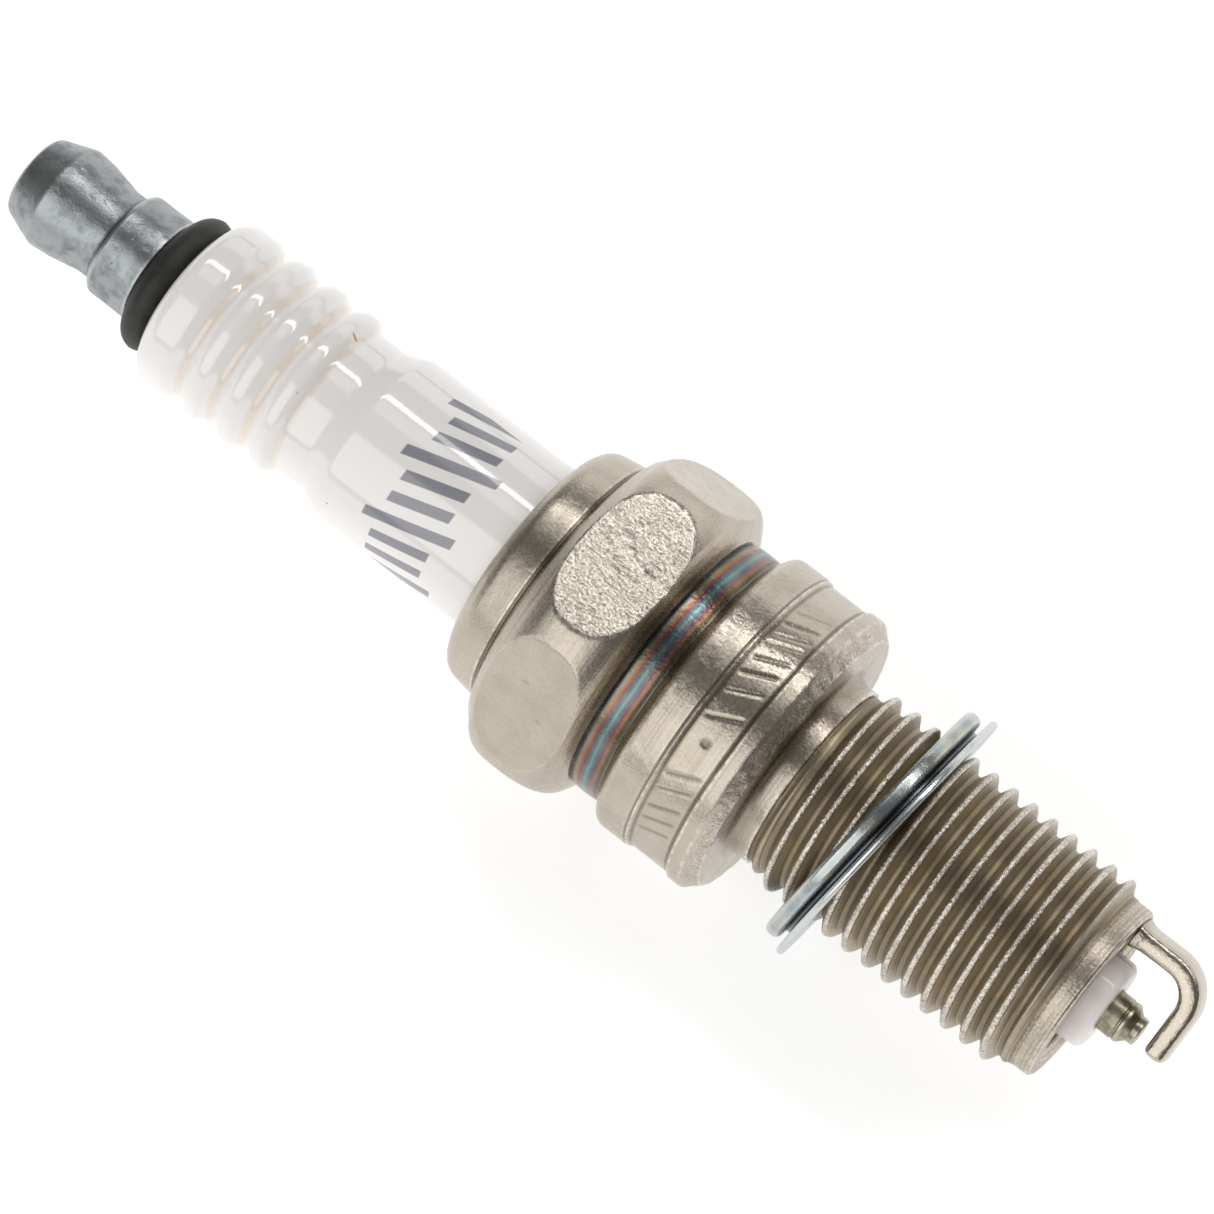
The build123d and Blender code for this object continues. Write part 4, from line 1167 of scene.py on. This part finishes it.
def make_thread(size, look):
    """Thread, land and firing bore: a grid whose rows climb with the helix, closed by a turned bore."""
    rim = SHELL_HIGH[0]
    end = rim - size.land_length
    per_turn = THREAD_ROWS
    rows = int(np.ceil((end - size.start) / size.pitch * per_turn)) + per_turn
    throat, ledge = 4.0 * MM, 3.35 * MM
    row = np.arange(-per_turn, rows + 1)[:, None]
    bearing = bearings(THREAD_COLUMNS)[None, :]
    climb = size.start + size.pitch * (row / per_turn + bearing / (2 * np.pi))
    x = np.clip(climb, size.start, end)
    radius, ridge = thread_radius(size, x, bearing, end)
    cell = 0.34 * MM
    u, v, columns = noise_cells(x, bearing, cell, np.pi * size.major)
    nicks = soft_noise(u, v, 41, columns)
    chips = soft_noise(u / 3, v / 3, 42, columns // 3)
    crest = ease(ridge, 0.7, 0.97)
    radius = radius - crest * (0.035 * MM * (0.5 + 0.5 * nicks) + 0.05 * MM * ease(chips, 0.35, 0.95))
    helix = round_the_axis(x, radius, bearing)
    count_rows = len(row)
    inner_faces = grid_faces(count_rows, THREAD_COLUMNS, close_columns=False)
    step = np.arange(count_rows - 1)
    after = np.minimum(step + per_turn, count_rows - 1)
    after_next = np.minimum(step + 1 + per_turn, count_rows - 1)
    last = THREAD_COLUMNS - 1
    seam = [step * THREAD_COLUMNS + last, after * THREAD_COLUMNS]
    seam += [after_next * THREAD_COLUMNS, (step + 1) * THREAD_COLUMNS + last]
    seam = np.stack(seam, 1)
    land, bore, foot = size.land / 2, size.bore / 2, size.core / 4 + size.land / 4
    turned = [
        (end, foot, 0),
        (end + 0.08 * MM, land, 0.05 * MM),
        (rim, land, 0.24 * MM),
        (rim, bore + 0.34 * MM, 0.06 * MM),
        (rim - 0.32 * MM, bore, 0.08 * MM),
        (rim - 1.4 * MM, bore, 0),
    ]
    deep = [
        (rim - 1.4 * MM, bore, 0),
        (7.0 * MM, bore, 0),
        (6.55 * MM, ledge, 0),
        (5.25 * MM, ledge, 0),
        (4.6 * MM, throat, 0),
        (size.start, throat, 0),
        (size.start, foot, 0),
    ]
    profile = chained((turned, 0.1 * MM), (deep, 2.5 * MM))
    turned_x = profile[:, :1] + 0 * bearing
    turned_radius = profile[:, 1:] + 0 * bearing
    outer = (turned_x > rim - 0.6 * MM) & (turned_radius > land * 0.93)
    dints = 0.5 + 0.5 * soft_noise(turned_x / cell + 300, v[:1], 43, columns)
    turned_radius = turned_radius - 0.02 * MM * outer * dints
    lathed = round_the_axis(turned_x, turned_radius, bearing)
    lathed_faces = grid_faces(len(profile), THREAD_COLUMNS, start=count_rows * THREAD_COLUMNS)
    points = np.concatenate([helix.reshape(-1, 3), lathed.reshape(-1, 3)])
    faces = np.concatenate([inner_faces, seam, lathed_faces])
    # The groove values darken the land's and bore's inner corners: grime with painted shade.
    worn, recess_grime_and_shade = edges_and_grooves(profile, turned_x)
    plain = ease(turned_x, size.start + 5 * MM, rim) * 0.75
    values = {
        "edge": np.concatenate([0 * ridge.reshape(-1), worn.reshape(-1)]),
        "groove": np.concatenate([0 * ridge.reshape(-1), recess_grime_and_shade.reshape(-1)]),
        "ridge": np.concatenate([ridge.reshape(-1), plain.reshape(-1)]),
    }
    skin("shell_thread", points, faces, thread_finish(look), PLUG, "nickel_shell", ("shell",), **values)


def make_centre_electrode(size, look):
    """Centre electrode: a head in the chamber, a pin round its copper core, a cone and a fine tip."""
    top, end = ELECTRODE_LOW[0], ELECTRODE_HIGH[0]
    pin, tip, core = size.pin / 2, size.tip / 2, 0.65 * MM
    cone_end = end - size.tip_length
    cone = cone_end - size.cone
    core_end = INSULATOR_HIGH[0] - 2.6 * MM
    collar, head, shown_start = 1.35 * MM, 1.7 * MM, 19.0 * MM
    hidden = [
        (core_end, 0, 0),
        (core_end - core, core, 0),
        (top, core, 0),
        (top, collar, 0),
        (top + 0.5 * MM, collar, 0),
        (top + 0.8 * MM, head, 0),
        (top + 1.6 * MM, head, 0),
        (top + 2.13 * MM, pin, 0),
        (shown_start, pin, 0),
    ]
    shown = [
        (shown_start, pin, 0),
        (cone - 0.35 * MM, pin, 0.03 * MM),
        (cone - 0.3 * MM, pin - 0.05 * MM, 0.03 * MM),
        (cone - 0.22 * MM, pin - 0.05 * MM, 0.03 * MM),
        (cone - 0.17 * MM, pin, 0.03 * MM),
        (cone, pin, 0.06 * MM),
        (cone_end, tip, 0.04 * MM),
        (end, tip, 0.09 * MM),
        (end, 0, 0),
    ]
    profile = chained((hidden, 2 * MM), (shown, 0.04 * MM))

    def turned_grain(x, radius, bearing):
        grain = 0.5 + 0.5 * soft_noise(x / (0.3 * MM), bearing * 18 / (2 * np.pi), 51, 18)
        return -0.02 * MM * grain * ease(x, shown_start, shown_start + 0.5 * MM)

    slot, nodes = "nickel_alloy", ("centre_electrode",)
    lathe("firing_pin", profile, PIN_COLUMNS, electrode_finish(look), PLUG, slot, nodes, turned_grain)


def strap_path(size, rim):
    """The middle line of the strap in its own plane, as (x, distance from the axis), and its heading."""
    face = ELECTRODE_HIGH[0] + size.gap
    level = face + size.thickness / 2
    leg = run_between(np.array([rim, size.offset]), np.array([level - size.bend, size.offset]), 0.09 * MM)
    leg = np.concatenate([[[rim, size.offset]], leg])
    turn = np.linspace(0, np.pi / 2, 33)[1:]
    arc_x = level - size.bend + size.bend * np.sin(turn)
    arc_r = size.offset - size.bend + size.bend * np.cos(turn)
    arc = np.stack([arc_x, arc_r], 1)
    end = np.array([level, -size.overhang])
    arm = run_between(arc[-1], end, 0.07 * MM)
    path = np.concatenate([leg, arc, arm])
    heading = np.concatenate([np.zeros(len(leg)), turn, np.full(len(arm), np.pi / 2)])
    return path, heading


def make_strap(size, look):
    """The ground strap: a rounded bar carried along the bent line, domed at its end and welded at its foot.

    Its section is a superellipse: cos and sin of the angle round it, raised to powers below 1, signs kept.
    """
    rim = SHELL_HIGH[0]
    path, heading = strap_path(size, rim)
    run = np.concatenate([[0], np.cumsum(np.linalg.norm(np.diff(path, axis=0), axis=1))])
    left = run[-1] - run
    dome = np.sqrt(np.clip(1 - (1 - np.clip(left / STRAP_DOME, 0, 1)) ** 2, 0, 1))
    weld = np.exp(-((run / (0.42 * MM)) ** 2))
    around = np.linspace(0, 2 * np.pi, STRAP_COLUMNS, endpoint=False)
    across, through = np.cos(around), np.sin(around)
    across = np.sign(across) * abs(across) ** 0.42
    through = np.sign(through) * abs(through) ** 0.5
    corner = 1 - 0.06 * (abs(across * through))[None, :]
    shrink = STRAP_DOME * (1 - dome)[:, None]
    half_width = size.width / 2 + 0.15 * MM * weld[:, None] - shrink
    half_thick = size.thickness / 2 + 0.16 * MM * weld[:, None] - shrink * 0.8
    noise = soft_noise(run[:, None] / (0.5 * MM) + 9, around[None, :] * 12 / (2 * np.pi), 61, 12)
    rough = 1 - 0.012 * (0.5 + 0.5 * noise) - 0.05 * weld[:, None] * (0.5 + 0.5 * noise)
    side = half_width * across[None, :] * corner * rough
    out = half_thick * through[None, :] * corner * rough
    edge = abs(across * through)[None, :] ** 3 + 0 * side
    x = path[:, :1] + out * np.sin(heading)[:, None]
    lift = path[:, 1:] + out * np.cos(heading)[:, None]
    start_cap = np.array([[path[0, 0], path[0, 1], 0.0]])
    end_cap = np.array([[path[-1, 0], path[-1, 1], 0.0]])
    local = np.concatenate([
        np.broadcast_to(start_cap[:, None, :], (1, STRAP_COLUMNS, 3)),
        np.stack([x, lift, side], -1),
        np.broadcast_to(end_cap[:, None, :], (1, STRAP_COLUMNS, 3)),
    ])
    direction = size.direction
    out_y, out_z = -np.sin(direction), np.cos(direction)
    points = np.stack([
        local[..., 0],
        local[..., 1] * out_y + local[..., 2] * out_z,
        local[..., 1] * out_z - local[..., 2] * out_y,
    ], -1)
    pad = ((1, 1), (0, 0))
    edge = np.pad(edge, pad)
    weld_share = np.pad(weld[:, None] + 0 * side, pad, mode="edge")
    faces = grid_faces(len(path) + 2, STRAP_COLUMNS)
    values = {"edge": edge, "weld": weld_share}
    slot, nodes = "nickel_strap", ("ground_electrode",)
    skin("ground_strap", points, faces, strap_finish(look), PLUG, slot, nodes, **values)


def make_gasket(size, look):
    """The folded gasket: a thick rolled rim, a dark slot and a thin wide rim, leaning on the thread."""
    hole, roll, rim = size.hole / 2, size.roll / 2 - 0.05 * MM, size.rim / 2 - 0.05 * MM
    thick = size.roll_thickness + size.slot + size.rim_thickness
    start = -thick / 2
    slot_start = start + size.roll_thickness
    slot_end = slot_start + size.slot
    corners = [
        (start + 0.02 * MM, hole + 0.7 * MM, 0.2 * MM),
        (start + 0.02 * MM, roll, 0.44 * MM),
        (slot_start, roll, 0.44 * MM),
        (slot_start, hole + 0.6 * MM, 0.12 * MM),
        (slot_end, hole + 0.6 * MM, 0.12 * MM),
        (slot_end, rim, 0.2 * MM),
        (-start - 0.02 * MM, rim, 0.18 * MM),
        (-start - 0.02 * MM, hole, 0.12 * MM),
        (start + 0.02 * MM, hole, 0.3 * MM),
        (start + 0.02 * MM, hole + 0.7 * MM, 0),
    ]
    normal = Vector((1, -size.lean_y, -size.lean_z)).normalized()
    lean = Vector((1, 0, 0)).rotation_difference(normal).to_matrix().to_4x4()
    lean.translation = Vector((size.place, 0, 0))

    def uneven(x, radius, bearing):
        outer = ease(radius, hole + 0.3 * MM, rim)
        broad = soft_noise(x * 0 + 3, bearing * 7 / (2 * np.pi), 71, 7)
        fine = soft_noise(x / (0.5 * MM) + 50, bearing * 60 / (2 * np.pi), 72, 60)
        return -outer * (0.11 * MM * (0.5 + 0.5 * broad) + 0.02 * MM * (0.5 + 0.5 * fine))

    material = gasket_finish(look)
    profile = rounded_profile(corners, 0.06 * MM)
    slot, nodes = "zinc_gasket", ("crush_gasket",)
    lathe("folded_gasket", profile, GASKET_COLUMNS, material, GASKET, slot, nodes, uneven, lean)


def dress_inner_pieces():
    """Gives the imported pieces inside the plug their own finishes; their shapes stay as they are."""
    steel = inner_finish("stud_steel", (0.42, 0.42, 0.41), (0.3, 0.3, 0.3), 1.0, 0.34, 0.3)
    glass = inner_finish("seal_glass", (0.1, 0.09, 0.08), (0.2, 0.17, 0.13), 0.0, 0.25, 0.5)
    carbon = inner_finish("resistor_carbon", (0.07, 0.07, 0.07), (0.13, 0.12, 0.11), 0.0, 0.7, 0.2)
    copper = inner_finish("core_copper", (0.72, 0.35, 0.2), (0.55, 0.22, 0.12), 1.0, 0.3, 0.3)
    powder = inner_finish("pressed_talc", (0.82, 0.81, 0.77), (0.7, 0.68, 0.62), 0.0, 0.85, 0.15)
    for node, material in {
        "terminal_stud": steel,
        "upper_glass_seal": glass,
        "resistor": carbon,
        "lower_glass_seal": glass,
        "centre_electrode_core": copper,
        "upper_packing_ring": steel,
        "talc_packing": powder,
        "lower_packing_ring": steel,
        "inner_seat_gasket": steel,
    }.items():
        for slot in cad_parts[node].material_slots:
            slot.material = material


# ---- Stage --------------------------------------------------------------------------------------

def view_axes(look):
    """The picture's right, up and towards-the-viewer directions."""
    back = VIEW_DIRECTION.normalized()
    axis = Vector((1, 0, 0))
    along = (axis - back * axis.dot(back)).normalized()
    beside = along.cross(back)
    if beside.y > 0:
        beside = -beside
    right = along * np.cos(look.roll) - beside * np.sin(look.roll)
    down = along * np.sin(look.roll) + beside * np.cos(look.roll)
    return right, -down, back, beside


def make_camera(look):
    right, up, back, beside = view_axes(look)
    target = Vector((look.middle, 0, 0)) - beside * look.side_step
    place = target + back * look.distance
    data = bpy.data.cameras.new("viewer")
    data.lens = data.sensor_width * look.distance / look.field
    data.clip_start = 0.01
    camera = bpy.data.objects.new("viewer", data)
    camera.matrix_world = Matrix((
        (right.x, up.x, back.x, place.x),
        (right.y, up.y, back.y, place.y),
        (right.z, up.z, back.z, place.z),
        (0, 0, 0, 1),
    ))
    bpy.context.scene.collection.objects.link(camera)
    bpy.context.scene.camera = camera


def make_light(name, bearing, along, distance, width, depth, radiance):
    """A rectangular soft light that faces the plug: bearing from up towards -Y, along from across to +X.

    Its power is radiance x pi x area, so a larger panel is as bright in a reflection as a smaller one.
    """
    b, a = np.radians(bearing), np.radians(along)
    away = Vector((np.sin(a), -np.sin(b) * np.cos(a), np.cos(b) * np.cos(a)))
    data = bpy.data.lights.new(name, "AREA")
    data.shape = "RECTANGLE"
    data.size = depth
    data.size_y = width
    data.energy = radiance * np.pi * width * depth
    light = bpy.data.objects.new(name, data)
    z = away.normalized()
    x = Vector((1, 0, 0))
    x = (x - z * x.dot(z)).normalized()
    y = z.cross(x)
    place = Vector((LIGHT_MIDDLE, 0, 0)) + away * distance
    light.matrix_world = Matrix((
        (x.x, y.x, z.x, place.x),
        (x.y, y.y, z.y, place.y),
        (x.z, y.z, z.z, place.z),
        (0, 0, 0, 1),
    ))
    bpy.context.scene.collection.objects.link(light)


def make_floor(look):
    """A wide flat square of floor just under the lowest point of the plug."""
    low = CAD_BOX[0][2] - 0.02 * MM
    reach = np.linspace(-FLOOR_REACH, FLOOR_REACH, 33)
    x, y = np.meshgrid(reach, reach, indexing="ij")
    points = np.stack([x, y, 0 * x + low], -1).reshape(-1, 3)
    faces = grid_faces(len(reach), len(reach), close_columns=False)
    mesh = bpy.data.meshes.new("floor")
    mesh.from_pydata(points.tolist(), [], faces.tolist())
    mesh.materials.append(floor_finish(look))
    floor = bpy.data.objects.new("floor", mesh)
    bpy.context.scene.collection.objects.link(floor)


def make_surroundings():
    """An even grey room, and the plain view transform that keeps white paper white."""
    scene = bpy.context.scene
    world = bpy.data.worlds.new("room")
    world.use_nodes = True
    sky = next(n for n in world.node_tree.nodes if n.type == "BACKGROUND")
    sky.inputs["Color"].default_value = (*ROOM_TONE, 1.0)
    sky.inputs["Strength"].default_value = ROOM_LIGHT
    scene.world = world
    scene.view_settings.view_transform = "Standard"


# ---- Operators ----------------------------------------------------------------------------------

class PLUG_OT_terminal(bpy.types.Operator):
    """Build the terminal cap and the rubber ring under it"""

    bl_idname = "plug.terminal"
    bl_label = "Terminal"

    def execute(self, context):
        make_nut(context.scene.plug_terminal, context.scene.plug_finish)
        make_ring(context.scene.plug_terminal, context.scene.plug_finish)
        return {"FINISHED"}


class PLUG_OT_insulator(bpy.types.Operator):
    """Build the glazed ceramic body with its printed bars"""

    bl_idname = "plug.insulator"
    bl_label = "Ceramic body"

    def execute(self, context):
        scene = context.scene
        make_insulator(scene.plug_insulator, scene.plug_finish, scene.plug_mark)
        return {"FINISHED"}


class PLUG_OT_shell(bpy.types.Operator):
    """Build the crimp, hexagon, collar and thread of the shell"""

    bl_idname = "plug.shell"
    bl_label = "Shell"

    def execute(self, context):
        scene = context.scene
        make_hexagon(scene.plug_shell, scene.plug_finish)
        make_collar(scene.plug_shell, scene.plug_thread, scene.plug_finish)
        make_thread(scene.plug_thread, scene.plug_finish)
        return {"FINISHED"}


class PLUG_OT_electrodes(bpy.types.Operator):
    """Build the centre electrode and the ground strap"""

    bl_idname = "plug.electrodes"
    bl_label = "Electrodes"

    def execute(self, context):
        make_centre_electrode(context.scene.plug_electrodes, context.scene.plug_finish)
        make_strap(context.scene.plug_electrodes, context.scene.plug_finish)
        return {"FINISHED"}


class PLUG_OT_gasket(bpy.types.Operator):
    """Build the loose folded gasket"""

    bl_idname = "plug.gasket"
    bl_label = "Gasket"

    def execute(self, context):
        make_gasket(context.scene.plug_gasket, context.scene.plug_finish)
        return {"FINISHED"}


class PLUG_OT_inner(bpy.types.Operator):
    """Give the sealed inner pieces their finishes"""

    bl_idname = "plug.inner"
    bl_label = "Inner pieces"

    def execute(self, context):
        dress_inner_pieces()
        return {"FINISHED"}


class PLUG_OT_stage(bpy.types.Operator):
    """Set up the floor, the lights and the camera"""

    bl_idname = "plug.stage"
    bl_label = "Stage"

    def execute(self, context):
        stage = context.scene.plug_stage
        make_surroundings()
        make_floor(stage)
        make_camera(stage)
        for panel in LIGHT_PANELS:
            make_light(*panel)
        return {"FINISHED"}


class PLUG_PT_sidebar(bpy.types.Panel):
    """Lists the plug's operators and sizes"""

    bl_label = "Spark plug"
    bl_idname = "PLUG_PT_sidebar"
    bl_space_type = "VIEW_3D"
    bl_region_type = "UI"
    bl_category = "Plug"

    def draw(self, context):
        for name, group in GROUPS.items():
            box = self.layout.box()
            box.label(text=name.replace("plug_", "").capitalize())
            for prop in group.__annotations__:
                box.prop(getattr(context.scene, name), prop)
        for operator in OPERATORS:
            self.layout.operator(operator.bl_idname)


GROUPS = {
    "plug_terminal": PLUG_PG_terminal,
    "plug_insulator": PLUG_PG_insulator,
    "plug_mark": PLUG_PG_mark,
    "plug_shell": PLUG_PG_shell,
    "plug_thread": PLUG_PG_thread,
    "plug_electrodes": PLUG_PG_electrodes,
    "plug_gasket": PLUG_PG_gasket,
    "plug_finish": PLUG_PG_finish,
    "plug_stage": PLUG_PG_stage,
}
OPERATORS = (
    PLUG_OT_stage,
    PLUG_OT_terminal,
    PLUG_OT_insulator,
    PLUG_OT_shell,
    PLUG_OT_electrodes,
    PLUG_OT_gasket,
    PLUG_OT_inner,
)


def register():
    for item in (*GROUPS.values(), *OPERATORS, PLUG_PT_sidebar):
        bpy.utils.register_class(item)
    for name, group in GROUPS.items():
        setattr(bpy.types.Scene, name, bpy.props.PointerProperty(type=group))


def unregister():
    for name in GROUPS:
        delattr(bpy.types.Scene, name)
    for item in (PLUG_PT_sidebar, *reversed(OPERATORS), *reversed(GROUPS.values())):
        bpy.utils.unregister_class(item)


def main():
    register()
    for operator in OPERATORS:
        getattr(bpy.ops.plug, operator.bl_idname.split(".")[1])()


if __name__ == "__main__":
    main()
